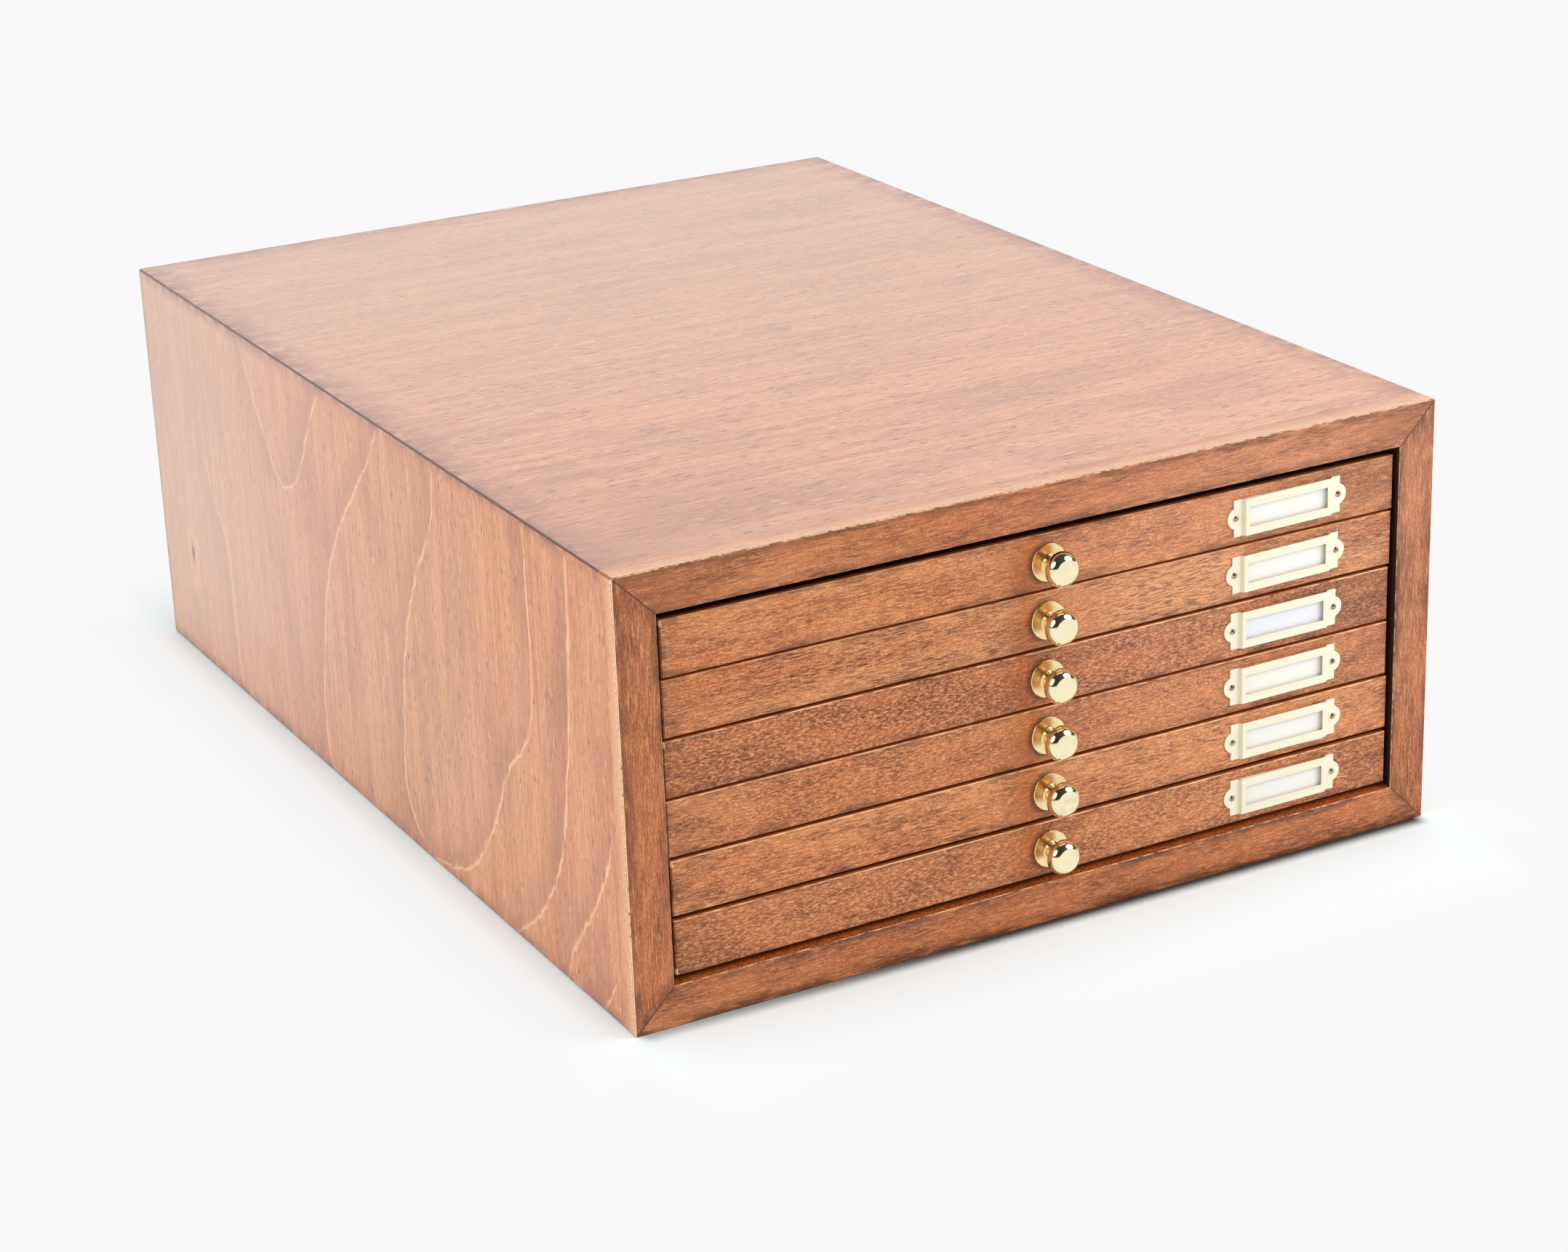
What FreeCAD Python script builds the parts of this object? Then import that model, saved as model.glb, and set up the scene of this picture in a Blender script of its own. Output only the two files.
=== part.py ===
# Coin cabinet: a mitred case with six shallow drawers that run on side strips.
# Millimetres. +X is to the right, +Y to the back and +Z up.
# The origin is the middle of the footprint, on the surface that the cabinet stands on.
import FreeCAD, Part
import os

import Sketcher

DRAWERS = 6
WELL_COLUMNS = 5
WELL_ROWS = 7

# Driving dimensions: name, value in millimetres (tilts in degrees) and what it measures.
SIZES = (
    ("cabinet_width", 385.0, "over the two sides"),
    ("cabinet_depth", 527.0, "face of the lipping to the back edge"),
    ("cabinet_height", 191.5, "floor to top"),
    ("board", 18.0, "thickness of the four case boards"),
    ("arris", 0.8, "flat eased off the long corners of the case"),
    ("lipping_depth", 11.5, "front to back of the solid-wood lipping"),
    ("lipping_ease", 0.5, "flat eased off the front edges of the lipping"),
    ("back_thickness", 6.0, "plywood back"),
    ("back_rebate", 9.0, "share of a board's thickness that the back laps"),
    ("back_fit", 0.2, "play of the back in its rebate"),
    ("back_screw", 3.0, "shank diameter of a back screw"),
    ("back_screw_head", 6.0, "head diameter of a back screw"),
    ("back_screw_length", 20.0, "under the flush head"),
    ("back_screw_inset", 60.0, "end screws from the outside of the case"),
    ("hole_fit", 0.1, "diameter of a screw's or pin's hole over the shank"),
    ("spline_width", 12.0, "loose tongue across a mitre"),
    ("spline_thickness", 4.0, "loose tongue along a mitre"),
    ("spline_inset", 10.5, "middle of the tongue from each outer face"),
    ("spline_stop", 30.0, "tongue ends this far from the back edge"),
    ("spline_fit", 0.1, "play of the tongue in its slot, each side"),
    ("top_gap", 3.9, "lipping to the top drawer front"),
    ("bottom_gap", 2.85, "lipping to the bottom drawer front"),
    ("front_gap", 1.25, "between two drawer fronts"),
    ("side_gap", 1.8, "drawer to the side of the case"),
    ("front_recess", 2.5, "drawer fronts behind the face of the lipping"),
    ("front_thickness", 16.0, "drawer front"),
    ("front_lap", 9.5, "front left in front of the tray's sides"),
    ("front_ease", 0.5, "flat eased off the face edges of a drawer front"),
    ("runner_height", 6.0, "strip that carries a drawer"),
    ("runner_reach", 7.0, "runner stands this far out of the side"),
    ("housing_depth", 3.0, "runner let into the side"),
    ("runner_play", 0.3, "groove over and under the runner"),
    ("side_play", 1.4, "bottom of the groove to the runner"),
    ("stop_gap", 0.3, "closed drawer front to the runner's end"),
    ("runner_end", 1.0, "runner to the back"),
    ("tray_wall", 12.0, "side of a tray"),
    ("tray_back", 12.0, "back of a tray"),
    ("tray_back_gap", 12.0, "tray to the case's back"),
    ("tray_drop", 1.5, "bottom of a tray above the foot of its front"),
    ("tray_headroom", 2.35, "top of a tray below the top of its front"),
    ("base_thickness", 3.0, "plywood base of a tray"),
    ("base_rebate", 5.0, "base let into each side"),
    ("coin_board", 3.5, "felt-faced board that lies in a tray"),
    ("coin_board_play", 0.4, "coin board to the tray, each side"),
    ("well_web", 7.0, "felt between two wells"),
    ("well_floor", 0.9, "felt under a well"),
    ("knob_flange", 16.2, "diameter of the knob's foot"),
    ("knob_edge", 0.8, "thickness of the foot"),
    ("knob_edge_round", 0.35, "radius on the foot's front edge"),
    ("knob_neck", 6.2, "diameter of the neck"),
    ("knob_cove", 1.2, "radius between the foot and the neck"),
    ("knob_neck_end", 8.0, "face of the drawer to the underside of the head"),
    ("knob_head", 14.9, "diameter of the head"),
    ("knob_rim", 0.7, "length of the head's widest band"),
    ("knob_rim_end", 9.9, "face of the drawer to the front of that band"),
    ("knob_face", 10.0, "diameter of the flat on the head"),
    ("knob_length", 14.0, "face of the drawer to that flat"),
    ("knob_aside", 1.1, "knob to the right of the drawer front's middle"),
    ("knob_drop", 0.55, "knob below the drawer front's middle"),
    ("knob_thread", 7.0, "screw's reach into the knob"),
    ("knob_thread_spare", 0.6, "hole past the screw's end"),
    ("screw", 3.0, "shank diameter of a knob screw"),
    ("screw_head", 7.0, "head diameter of a knob screw"),
    ("screw_head_height", 2.6, "head of a knob screw"),
    ("screw_sink", 3.2, "depth of the head's recess in the drawer front"),
    ("screw_slack", 0.5, "diameter of that recess and of the through hole over the screw"),
    ("label_length", 60.0, "label holder over its lobes"),
    ("label_height", 16.0, "label holder"),
    ("label_shoulder", 53.7, "label holder without its lobes"),
    ("label_lobe", 4.7, "radius of a lobe"),
    ("label_sheet", 0.5, "thickness of the pressed sheet"),
    ("label_raise", 1.3, "window frame in front of the ears"),
    ("label_raised", 43.4, "length of the window frame"),
    ("label_joggle", 1.1, "slope between an ear and the window frame"),
    ("window_length", 39.6, "opening for the card"),
    ("window_height", 8.9, "opening for the card"),
    ("label_inset", 24.8, "lobe to the right end of the drawer front"),
    ("label_pin_span", 51.8, "between the two pins"),
    ("label_pin", 1.2, "shank diameter of a pin"),
    ("label_pin_head", 2.65, "head diameter of a pin"),
    ("label_pin_dome", 0.9, "height of a pin's head"),
    ("label_pin_length", 9.0, "pin under its head"),
    ("card_length", 43.0, "label card"),
    ("card_height", 14.0, "label card"),
    ("card_thickness", 0.3, "label card"),
)

# How each drawer was fitted by hand, from the top: its front's lift over an even spacing, the drawer's
# shift to the right, the label holder's tilt, and the card's rise and turn in its holder.
FITTING = ("front_lift", "drawer_shift", "label_tilt", "card_rise", "card_turn")
FITTED = (
    (0.10, 0.4, 0.8, 0.6, -0.8),
    (0.35, 0.0, 0.9, 0.0, 0.0),
    (0.25, -0.6, 0.2, -0.1, 0.2),
    (0.35, -0.5, 0.5, 0.1, 0.0),
    (0.15, 0.2, 0.3, -1.45, -2.6),
    (-0.45, 0.2, 0.2, 0.5, -1.2),
)

doc = FreeCAD.newDocument("coin_cabinet")
sheet = doc.addObject("Spreadsheet::Sheet", "Sizes")


def fill_sheet():
    """Write every driving dimension to a cell that carries its name."""
    rows = list(SIZES)
    for number, values in enumerate(FITTED, 1):
        rows += [(f"{name}_{number}", size, f"drawer {number}") for name, size in zip(FITTING, values)]
    for row, (name, size, note) in enumerate(rows, 1):
        sheet.set(f"A{row}", name)
        sheet.set(f"B{row}", str(size))
        sheet.setAlias(f"B{row}", name)
        sheet.set(f"C{row}", note)
    doc.recompute()


# Formulas that several pieces share.
HALF_WIDTH = "Sizes.cabinet_width / 2"
HALF_DEPTH = "Sizes.cabinet_depth / 2"
HALF_HEIGHT = "Sizes.cabinet_height / 2"
BOARD_FRONT = f"({HALF_DEPTH} - Sizes.lipping_depth)"
OPENING_HALF = f"({HALF_WIDTH} - Sizes.board)"
OPENING_HEIGHT = "(Sizes.cabinet_height - 2 * Sizes.board)"
FRONT_STACK = f"({OPENING_HEIGHT} - Sizes.top_gap - Sizes.bottom_gap + Sizes.front_gap)"
PITCH = f"({FRONT_STACK} / {DRAWERS})"
FRONT_HEIGHT = f"({PITCH} - Sizes.front_gap)"
FRONT_HALF = f"({OPENING_HALF} - Sizes.side_gap)"
FACE_Y = f"(Sizes.front_recess - {HALF_DEPTH})"
TRAY_HEIGHT = f"({FRONT_HEIGHT} - Sizes.tray_drop - Sizes.tray_headroom)"
TRAY_INNER = f"({FRONT_HALF} - Sizes.tray_wall)"
TRAY_LENGTH = "(Sizes.cabinet_depth - Sizes.front_recess - Sizes.back_thickness - Sizes.tray_back_gap)"
REBATE_WALL = "(Sizes.board - Sizes.back_rebate)"
BACK_SCREW_LINE = "(Sizes.board - Sizes.back_rebate / 2)"
BACK_SCREW_CONE = "((Sizes.back_screw_head - Sizes.back_screw) / 2)"
KNOB_X, KNOB_Z = "Sizes.knob_aside", "-Sizes.knob_drop"
LABEL_X = f"({FRONT_HALF} - Sizes.label_inset - Sizes.label_length / 2)"
SPLINE_RUN = "(Sizes.cabinet_depth - Sizes.lipping_depth - Sizes.spline_stop)"


def front_foot(number):
    """Height of a drawer front's lower edge in an even spacing; drawer 1 is the top one."""
    return f"(Sizes.board + Sizes.bottom_gap + {DRAWERS - number} * {PITCH})"


def value(formula):
    return float(sheet.evalExpression(formula))


def new_body(label):
    body = doc.addObject("PartDesign::Body", label)
    body.Label = label
    return body


def new_sketch(body, role, offset="0"):
    """Sketch on one of the body's own origin planes, moved along the plane's normal."""
    sketch = body.newObject("Sketcher::SketchObject", f"{body.Name}_sketch")
    plane = next(item for item in body.Origin.OriginFeatures if item.Role == role)
    sketch.AttachmentSupport = [(plane, "")]
    sketch.MapMode = "FlatFace"
    sketch.setExpression("AttachmentOffset.Base.z", offset)
    return sketch


def bind(sketch, kind, references, formula):
    """Add a dimension to a sketch and tie it to the sheet."""
    index = sketch.addConstraint(Sketcher.Constraint(kind, *references, value(formula)))
    sketch.setExpression(f"Constraints[{index}]", formula)


def add_arc(sketch, start, end, radius, turn):
    """Arc from start to end; turn is 1 where it bears left on the way and -1 where it bears right."""
    chord = end - start
    middle = (start + end) * 0.5
    left = FreeCAD.Vector(-chord.y, chord.x, 0).normalize()
    centre = middle + left * (turn * max(radius ** 2 - chord.Length ** 2 / 4, 0) ** 0.5)
    first, last = (start, end) if turn > 0 else (end, start)
    angles = []
    for point in (first, last):
        turned = FreeCAD.Vector(1, 0, 0).getAngle(point - centre)
        angles.append(turned if point.y >= centre.y else -turned)
    circle = Part.Circle(centre, FreeCAD.Vector(0, 0, 1), radius)
    index = sketch.addGeometry(Part.ArcOfCircle(circle, *angles))
    return (index, 1, 2) if turn > 0 else (index, 2, 1)


def add_outline(sketch, corners):
    """Closed outline through corners (x, y); an arc follows a corner (x, y, radius, turn)."""
    places = [FreeCAD.Vector(value(corner[0]), value(corner[1]), 0) for corner in corners]
    sides = []
    for corner, start, end in zip(corners, places, places[1:] + places[:1]):
        if len(corner) == 2:
            sides.append((sketch.addGeometry(Part.LineSegment(start, end)), 1, 2))
        else:
            sides.append(add_arc(sketch, start, end, value(corner[2]), corner[3]))
    for side, following in zip(sides, sides[1:] + sides[:1]):
        joint = (side[0], side[2], following[0], following[1])
        sketch.addConstraint(Sketcher.Constraint("Coincident", *joint))
    for corner, side in zip(corners, sides):
        bind(sketch, "DistanceX", (-1, 1, side[0], side[1]), corner[0])
        bind(sketch, "DistanceY", (-1, 1, side[0], side[1]), corner[1])
        if len(corner) > 2:
            bind(sketch, "Radius", (side[0],), corner[2])


def add_rectangle(sketch, left, right, low, high):
    add_outline(sketch, [(left, low), (right, low), (right, high), (left, high)])


def add_circle(sketch, x, y, diameter):
    centre = FreeCAD.Vector(value(x), value(y), 0)
    index = sketch.addGeometry(Part.Circle(centre, FreeCAD.Vector(0, 0, 1), value(diameter) / 2))
    bind(sketch, "DistanceX", (-1, 1, index, 3), x)
    bind(sketch, "DistanceY", (-1, 1, index, 3), y)
    bind(sketch, "Diameter", (index,), diameter)


def pad(body, sketch, length, reverse=False, both_ways=False):
    feature = body.newObject("PartDesign::Pad", f"{body.Name}_pad")
    feature.Profile = sketch
    feature.Reversed = reverse
    feature.Midplane = both_ways
    feature.setExpression("Length", length)
    doc.recompute()
    return feature


def pocket(body, sketch, depth=None, reverse=False):
    """Cut a sketch to a depth, or right through, and check that it met the solid."""
    before = body.Shape.Volume
    feature = body.newObject("PartDesign::Pocket", f"{body.Name}_pocket")
    feature.Profile = sketch
    feature.Reversed = reverse
    if depth is None:
        feature.Type = "ThroughAll"
    else:
        feature.setExpression("Length", depth)
    doc.recompute()
    if body.Shape.Volume >= before:
        raise RuntimeError(f"{feature.Name} cuts nothing")
    return feature


def revolve(body, sketch):
    """Turn a profile about the body's Y axis."""
    feature = body.newObject("PartDesign::Revolution", f"{body.Name}_turning")
    feature.Profile = sketch
    axis = next(item for item in body.Origin.OriginFeatures if item.Role == "Y_Axis")
    feature.ReferenceAxis = (axis, [""])
    feature.Angle = 360
    doc.recompute()
    return feature


def repeat(body, feature, steps):
    """Repeat a feature along axes; a step is (axis role, spacing formula, copies)."""
    grid = body.newObject("PartDesign::MultiTransform", f"{body.Name}_grid")
    grid.Originals = [feature]
    rows = []
    for role, spacing, copies in steps:
        row = body.newObject("PartDesign::LinearPattern", f"{body.Name}_row")
        axis = next(item for item in body.Origin.OriginFeatures if item.Role == role)
        row.Direction = (axis, [""])
        row.Occurrences = copies
        row.setExpression("Length", f"{copies - 1} * {spacing}")
        rows.append(row)
    grid.Transformations = rows
    body.Tip = grid
    doc.recompute()
    return grid


def edges_at_y(feature, y, wanted):
    """Names of a feature's edges that lie in the plane at y and pass a test."""
    names = []
    for index, edge in enumerate(feature.Shape.Edges, 1):
        box = edge.BoundBox
        if abs(box.YMin - y) < 1e-6 and abs(box.YMax - y) < 1e-6 and wanted(box):
            names.append(f"Edge{index}")
    return names


def ease(body, feature, edges, size):
    """Take a small flat off some edges of a feature."""
    chamfer = body.newObject("PartDesign::Chamfer", f"{body.Name}_ease")
    chamfer.Base = (feature, edges)
    chamfer.setExpression("Size", size)
    doc.recompute()


def place(item, x, y, z):
    for axis, formula in zip("xyz", (x, y, z)):
        item.setExpression(f"Placement.Base.{axis}", formula)


def tilt(item, degrees):
    """Turn a piece in the plane of the drawer's face, right end up."""
    item.Placement = FreeCAD.Placement(FreeCAD.Vector(), FreeCAD.Rotation(FreeCAD.Vector(0, -1, 0), 1))
    item.setExpression("Placement.Rotation.Angle", degrees)


def group(label, members):
    """Several solids of one kind, kept as one named sub-part."""
    item = doc.addObject("Part::Compound", label)
    item.Label = label
    item.Links = members
    return item


def mitred_strip(sketch, edge):
    """Section of a case board or lipping: mitred ends, with the outer corners eased off."""
    along = HALF_WIDTH if edge in ("top", "bottom") else HALF_HEIGHT
    profile = [
        (f"{along} - Sizes.arris", "0", 1),
        (f"{along} - Sizes.arris / 2", "Sizes.arris / 2", 1),
        (f"{along} - Sizes.board", "Sizes.board", 1),
        (f"{along} - Sizes.board", "Sizes.board", -1),
        (f"{along} - Sizes.arris / 2", "Sizes.arris / 2", -1),
        (f"{along} - Sizes.arris", "0", -1),
    ]
    corners = []
    for run, inward, sign in profile:
        run = f"{sign} * ({run})"
        corners.append({
            "top": (run, f"Sizes.cabinet_height - {inward}"),
            "bottom": (run, inward),
            "left": (f"{inward} - {HALF_WIDTH}", f"{HALF_HEIGHT} + {run}"),
            "right": (f"{HALF_WIDTH} - {inward}", f"{HALF_HEIGHT} + {run}"),
        }[edge])
    add_outline(sketch, corners)


CASE_CORNERS = {"top": ((-1, 1), (1, 1)), "bottom": ((-1, -1), (1, -1)),
                "left": ((-1, -1), (-1, 1)), "right": ((1, -1), (1, 1))}


def spline_section(sketch, side, upward, play="0"):
    """Section of the loose tongue in one mitre, or of its slot."""
    across = f"((Sizes.spline_width + 2 * {play}) * sqrt(2) / 4)"
    along = f"((Sizes.spline_thickness + 2 * {play}) * sqrt(2) / 4)"
    height = "Sizes.cabinet_height - Sizes.spline_inset" if upward > 0 else "Sizes.spline_inset"
    corners = []
    for a, b in ((1, 1), (1, -1), (-1, -1), (-1, 1)):
        x = f"{side} * ({HALF_WIDTH} - Sizes.spline_inset + {a} * {across} + {b} * {along})"
        z = f"{height} + {upward} * ({b} * {along} - {a} * {across})"
        corners.append((x, z))
    add_outline(sketch, corners)


def back_screw_places(edge):
    """Middles of the back screws along one edge of the back."""
    side_x = f"({HALF_WIDTH} - {BACK_SCREW_LINE})"
    row_x = f"({HALF_WIDTH} - Sizes.back_screw_inset)"
    row_z = {"top": f"(Sizes.cabinet_height - {BACK_SCREW_LINE})", "bottom": BACK_SCREW_LINE}
    if edge in row_z:
        return [(f"{sign} * {row_x}", row_z[edge]) for sign in (-1, 1)]
    sign = -1 if edge == "left" else 1
    return [(f"{sign} * {side_x}", HALF_HEIGHT)]


def case_board(label, edge):
    """Veneered board with mitred edges, a rebate for the back, slots for tongues and pilot holes."""
    body = new_body(label)
    section = new_sketch(body, "XZ_Plane", f"-{HALF_DEPTH}")
    mitred_strip(section, edge)
    pad(body, section, "Sizes.cabinet_depth - Sizes.lipping_depth")
    rebate = new_sketch(body, "XZ_Plane", f"-{HALF_DEPTH}")
    reach = f"({HALF_WIDTH} - {REBATE_WALL})"
    add_rectangle(rebate, f"-{reach}", reach, REBATE_WALL, f"Sizes.cabinet_height - {REBATE_WALL}")
    pocket(body, rebate, "Sizes.back_thickness", reverse=True)
    slots = new_sketch(body, "XZ_Plane", BOARD_FRONT)
    for side, upward in CASE_CORNERS[edge]:
        spline_section(slots, side, upward, "Sizes.spline_fit")
    pocket(body, slots, f"{SPLINE_RUN} + Sizes.spline_fit")
    pilots = new_sketch(body, "XZ_Plane", f"-{HALF_DEPTH}")
    for x, z in back_screw_places(edge):
        add_circle(pilots, x, z, "Sizes.back_screw + Sizes.hole_fit")
    pocket(body, pilots, "Sizes.back_screw_length + Sizes.hole_fit", reverse=True)
    if edge in ("left", "right"):
        runner_housings(body, -1 if edge == "left" else 1)
    return body


def runner_height(number):
    """Middle of the runners of one drawer."""
    return f"({front_foot(number)} + Sizes.tray_drop + {TRAY_HEIGHT} / 2)"


def runner_housings(body, side):
    """Grooves across a side's inner face that the runners are glued into."""
    lowest = runner_height(DRAWERS)
    low = f"{lowest} - Sizes.runner_height / 2"
    high = f"{lowest} + Sizes.runner_height / 2"
    sketch = new_sketch(body, "XZ_Plane", BOARD_FRONT)
    wall = f"{side} * {OPENING_HALF}"
    floor = f"{side} * ({OPENING_HALF} + Sizes.housing_depth)"
    add_rectangle(sketch, wall, floor, low, high)
    groove = pocket(body, sketch)
    repeat(body, groove, [("Z_Axis", PITCH, DRAWERS)])


def lipping(label, edge):
    """Solid-wood strip on a board's front edge, with softened front edges."""
    body = new_body(label)
    section = new_sketch(body, "XZ_Plane", BOARD_FRONT)
    mitred_strip(section, edge)
    strip = pad(body, section, "Sizes.lipping_depth")
    upright = edge in ("left", "right")
    straight = 2 * value("Sizes.board")

    def long_edge(box):
        return (box.ZLength if upright else box.XLength) > straight

    edges = edges_at_y(strip, -value(HALF_DEPTH), long_edge)
    ease(body, strip, edges, "Sizes.lipping_ease")
    return body


def back_panel(label):
    """Plywood back with countersunk holes."""
    body = new_body(label)
    outline = new_sketch(body, "XZ_Plane", f"-{HALF_DEPTH}")
    inset = f"({REBATE_WALL} + Sizes.back_fit)"
    reach = f"({HALF_WIDTH} - {inset})"
    add_rectangle(outline, f"-{reach}", reach, inset, f"Sizes.cabinet_height - {inset}")
    pad(body, outline, "Sizes.back_thickness")
    holes = new_sketch(body, "XZ_Plane", f"-{HALF_DEPTH}")
    for edge in CASE_CORNERS:
        for x, z in back_screw_places(edge):
            add_circle(holes, x, z, "Sizes.back_screw + Sizes.hole_fit")
    drilled = pocket(body, holes, reverse=True)
    hole_size = value("Sizes.back_screw + Sizes.hole_fit")
    rims = edges_at_y(drilled, value(HALF_DEPTH), lambda box: 0.5 * hole_size < box.XLength < 2 * hole_size)
    ease(body, drilled, rims, BACK_SCREW_CONE)
    return body


def back_screws(label):
    screws = []
    for edge in CASE_CORNERS:
        for x, z in back_screw_places(edge):
            body = new_body("back_screw")
            profile = new_sketch(body, "XY_Plane")
            add_outline(profile, [
                ("0", "0"),
                ("0", "-Sizes.back_screw_length"),
                ("Sizes.back_screw / 2", "-Sizes.back_screw_length"),
                ("Sizes.back_screw / 2", f"-{BACK_SCREW_CONE}"),
                ("Sizes.back_screw_head / 2", "0"),
            ])
            revolve(body, profile)
            place(body, x, HALF_DEPTH, z)
            screws.append(body)
    return group(label, screws)


def mitre_splines(label):
    splines = []
    for side in (-1, 1):
        for upward in (-1, 1):
            body = new_body("mitre_spline")
            section = new_sketch(body, "XZ_Plane", BOARD_FRONT)
            spline_section(section, side, upward)
            pad(body, section, SPLINE_RUN, reverse=True)
            splines.append(body)
    return group(label, splines)


def drawer_runners(label):
    strips = []
    width = "(Sizes.housing_depth + Sizes.runner_reach)"
    start = f"({FACE_Y} + Sizes.front_lap + Sizes.stop_gap)"
    for number in range(1, DRAWERS + 1):
        for side in (-1, 1):
            strip = doc.addObject("Part::Box", "runner")
            strip.setExpression("Length", width)
            strip.setExpression("Width", f"{HALF_DEPTH} - Sizes.back_thickness - Sizes.runner_end - {start}")
            strip.setExpression("Height", "Sizes.runner_height")
            outer = f"({OPENING_HALF} + Sizes.housing_depth)"
            x = f"-{outer}" if side < 0 else f"{outer} - {width}"
            place(strip, x, start, f"{runner_height(number)} - Sizes.runner_height / 2")
            strips.append(strip)
    return group(label, strips)


def label_pin_places(number):
    """Middles of the label pins from the middle of the drawer's face."""
    reach = "Sizes.label_pin_span / 2"
    angle = f"(Sizes.label_tilt_{number} * 1 deg)"
    return [(f"{LABEL_X} + {sign} * {reach} * cos({angle})", f"{sign} * {reach} * sin({angle})")
            for sign in (-1, 1)]


def on_face(item, number, x="0", z="0"):
    """Place a piece on the middle of a drawer's face, or to its right and above it."""
    height = f"{front_foot(number)} + {FRONT_HEIGHT} / 2 + Sizes.front_lift_{number}"
    place(item, f"Sizes.drawer_shift_{number} + {x}", FACE_Y, f"{height} + {z}")


def in_tray(item, number):
    """Place a piece that is drawn from the middle of a tray's lower edge, under the drawer's face."""
    place(item, f"Sizes.drawer_shift_{number}", FACE_Y, f"{front_foot(number)} + Sizes.tray_drop")


def drawer_front(label, number):
    """Solid front, rebated behind its ends for the tray's sides and bored for its fittings."""
    body = new_body(label)
    plan = new_sketch(body, "XY_Plane")
    add_outline(plan, [
        (f"-{FRONT_HALF}", "0"),
        (FRONT_HALF, "0"),
        (FRONT_HALF, "Sizes.front_lap"),
        (TRAY_INNER, "Sizes.front_lap"),
        (TRAY_INNER, "Sizes.front_thickness"),
        (f"-{TRAY_INNER}", "Sizes.front_thickness"),
        (f"-{TRAY_INNER}", "Sizes.front_lap"),
        (f"-{FRONT_HALF}", "Sizes.front_lap"),
    ])
    plank = pad(body, plan, FRONT_HEIGHT, both_ways=True)
    edges = edges_at_y(plank, 0.0, lambda box: True)
    ease(body, plank, edges, "Sizes.front_ease")
    bore = new_sketch(body, "XZ_Plane")
    add_circle(bore, KNOB_X, KNOB_Z, "Sizes.screw + Sizes.screw_slack")
    pocket(body, bore)
    recess = new_sketch(body, "XZ_Plane", "Sizes.screw_sink - Sizes.front_thickness")
    add_circle(recess, KNOB_X, KNOB_Z, "Sizes.screw_head + Sizes.screw_slack")
    pocket(body, recess)
    pins = new_sketch(body, "XZ_Plane")
    for x, z in label_pin_places(number):
        add_circle(pins, x, z, "Sizes.label_pin + Sizes.hole_fit")
    pocket(body, pins, "Sizes.label_pin_length + Sizes.hole_fit")
    on_face(body, number)
    return body


def tray_side(number, side):
    """Tray side with a groove for its runner and a rebate for the base."""
    body = new_body(f"drawer_{number}_side")
    outer, inner = FRONT_HALF, TRAY_INNER
    groove = f"({FRONT_HALF} - (Sizes.runner_reach - Sizes.side_gap + Sizes.side_play))"
    ledge = f"({TRAY_INNER} + Sizes.base_rebate)"
    half_groove = "(Sizes.runner_height / 2 + Sizes.runner_play)"
    corners = [
        (outer, "0"),
        (outer, f"{TRAY_HEIGHT} / 2 - {half_groove}"),
        (groove, f"{TRAY_HEIGHT} / 2 - {half_groove}"),
        (groove, f"{TRAY_HEIGHT} / 2 + {half_groove}"),
        (outer, f"{TRAY_HEIGHT} / 2 + {half_groove}"),
        (outer, TRAY_HEIGHT),
        (inner, TRAY_HEIGHT),
        (inner, "Sizes.base_thickness"),
        (ledge, "Sizes.base_thickness"),
        (ledge, "0"),
    ]
    section = new_sketch(body, "XZ_Plane", "-Sizes.front_lap")
    add_outline(section, [(f"{side} * {x}", z) for x, z in corners])
    pad(body, section, f"{TRAY_LENGTH} - Sizes.front_lap", reverse=True)
    in_tray(body, number)
    return body


def tray_board(label, number, half_width, start, end, low, high):
    """Flat board inside a tray's outline."""
    body = new_body(label)
    plan = new_sketch(body, "XY_Plane", low)
    add_rectangle(plan, f"-{half_width}", half_width, start, end)
    pad(body, plan, f"{high} - {low}")
    in_tray(body, number)
    return body


def tray_frame(label, number):
    back_start = f"({TRAY_LENGTH} - Sizes.tray_back)"
    back = tray_board(f"drawer_{number}_back", number, TRAY_INNER, back_start, TRAY_LENGTH,
                      "Sizes.base_thickness", TRAY_HEIGHT)
    return group(label, [tray_side(number, -1), tray_side(number, 1), back])


def tray_base(label, number):
    half_width = f"({TRAY_INNER} + Sizes.base_rebate)"
    return tray_board(label, number, half_width, "Sizes.front_thickness", TRAY_LENGTH,
                      "0", "Sizes.base_thickness")


def coin_board(label, number):
    """Felt-faced board with a grid of square wells."""
    half_width = f"({TRAY_INNER} - Sizes.coin_board_play)"
    start = "(Sizes.front_thickness + Sizes.coin_board_play)"
    end = f"({TRAY_LENGTH} - Sizes.tray_back - Sizes.coin_board_play)"
    top = "(Sizes.base_thickness + Sizes.coin_board)"
    body = tray_board(label, number, half_width, start, end, "Sizes.base_thickness", top)
    step_x = f"((2 * {half_width} - Sizes.well_web) / {WELL_COLUMNS})"
    step_y = f"(({end} - {start} - Sizes.well_web) / {WELL_ROWS})"
    well = new_sketch(body, "XY_Plane", top)
    left = f"Sizes.well_web - {half_width}"
    near = f"{start} + Sizes.well_web"
    add_rectangle(well, left, f"{step_x} - {half_width}", near, f"{start} + {step_y}")
    cut = pocket(body, well, "Sizes.coin_board - Sizes.well_floor")
    repeat(body, cut, [("X_Axis", step_x, WELL_COLUMNS), ("Y_Axis", step_y, WELL_ROWS)])
    return body


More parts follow.
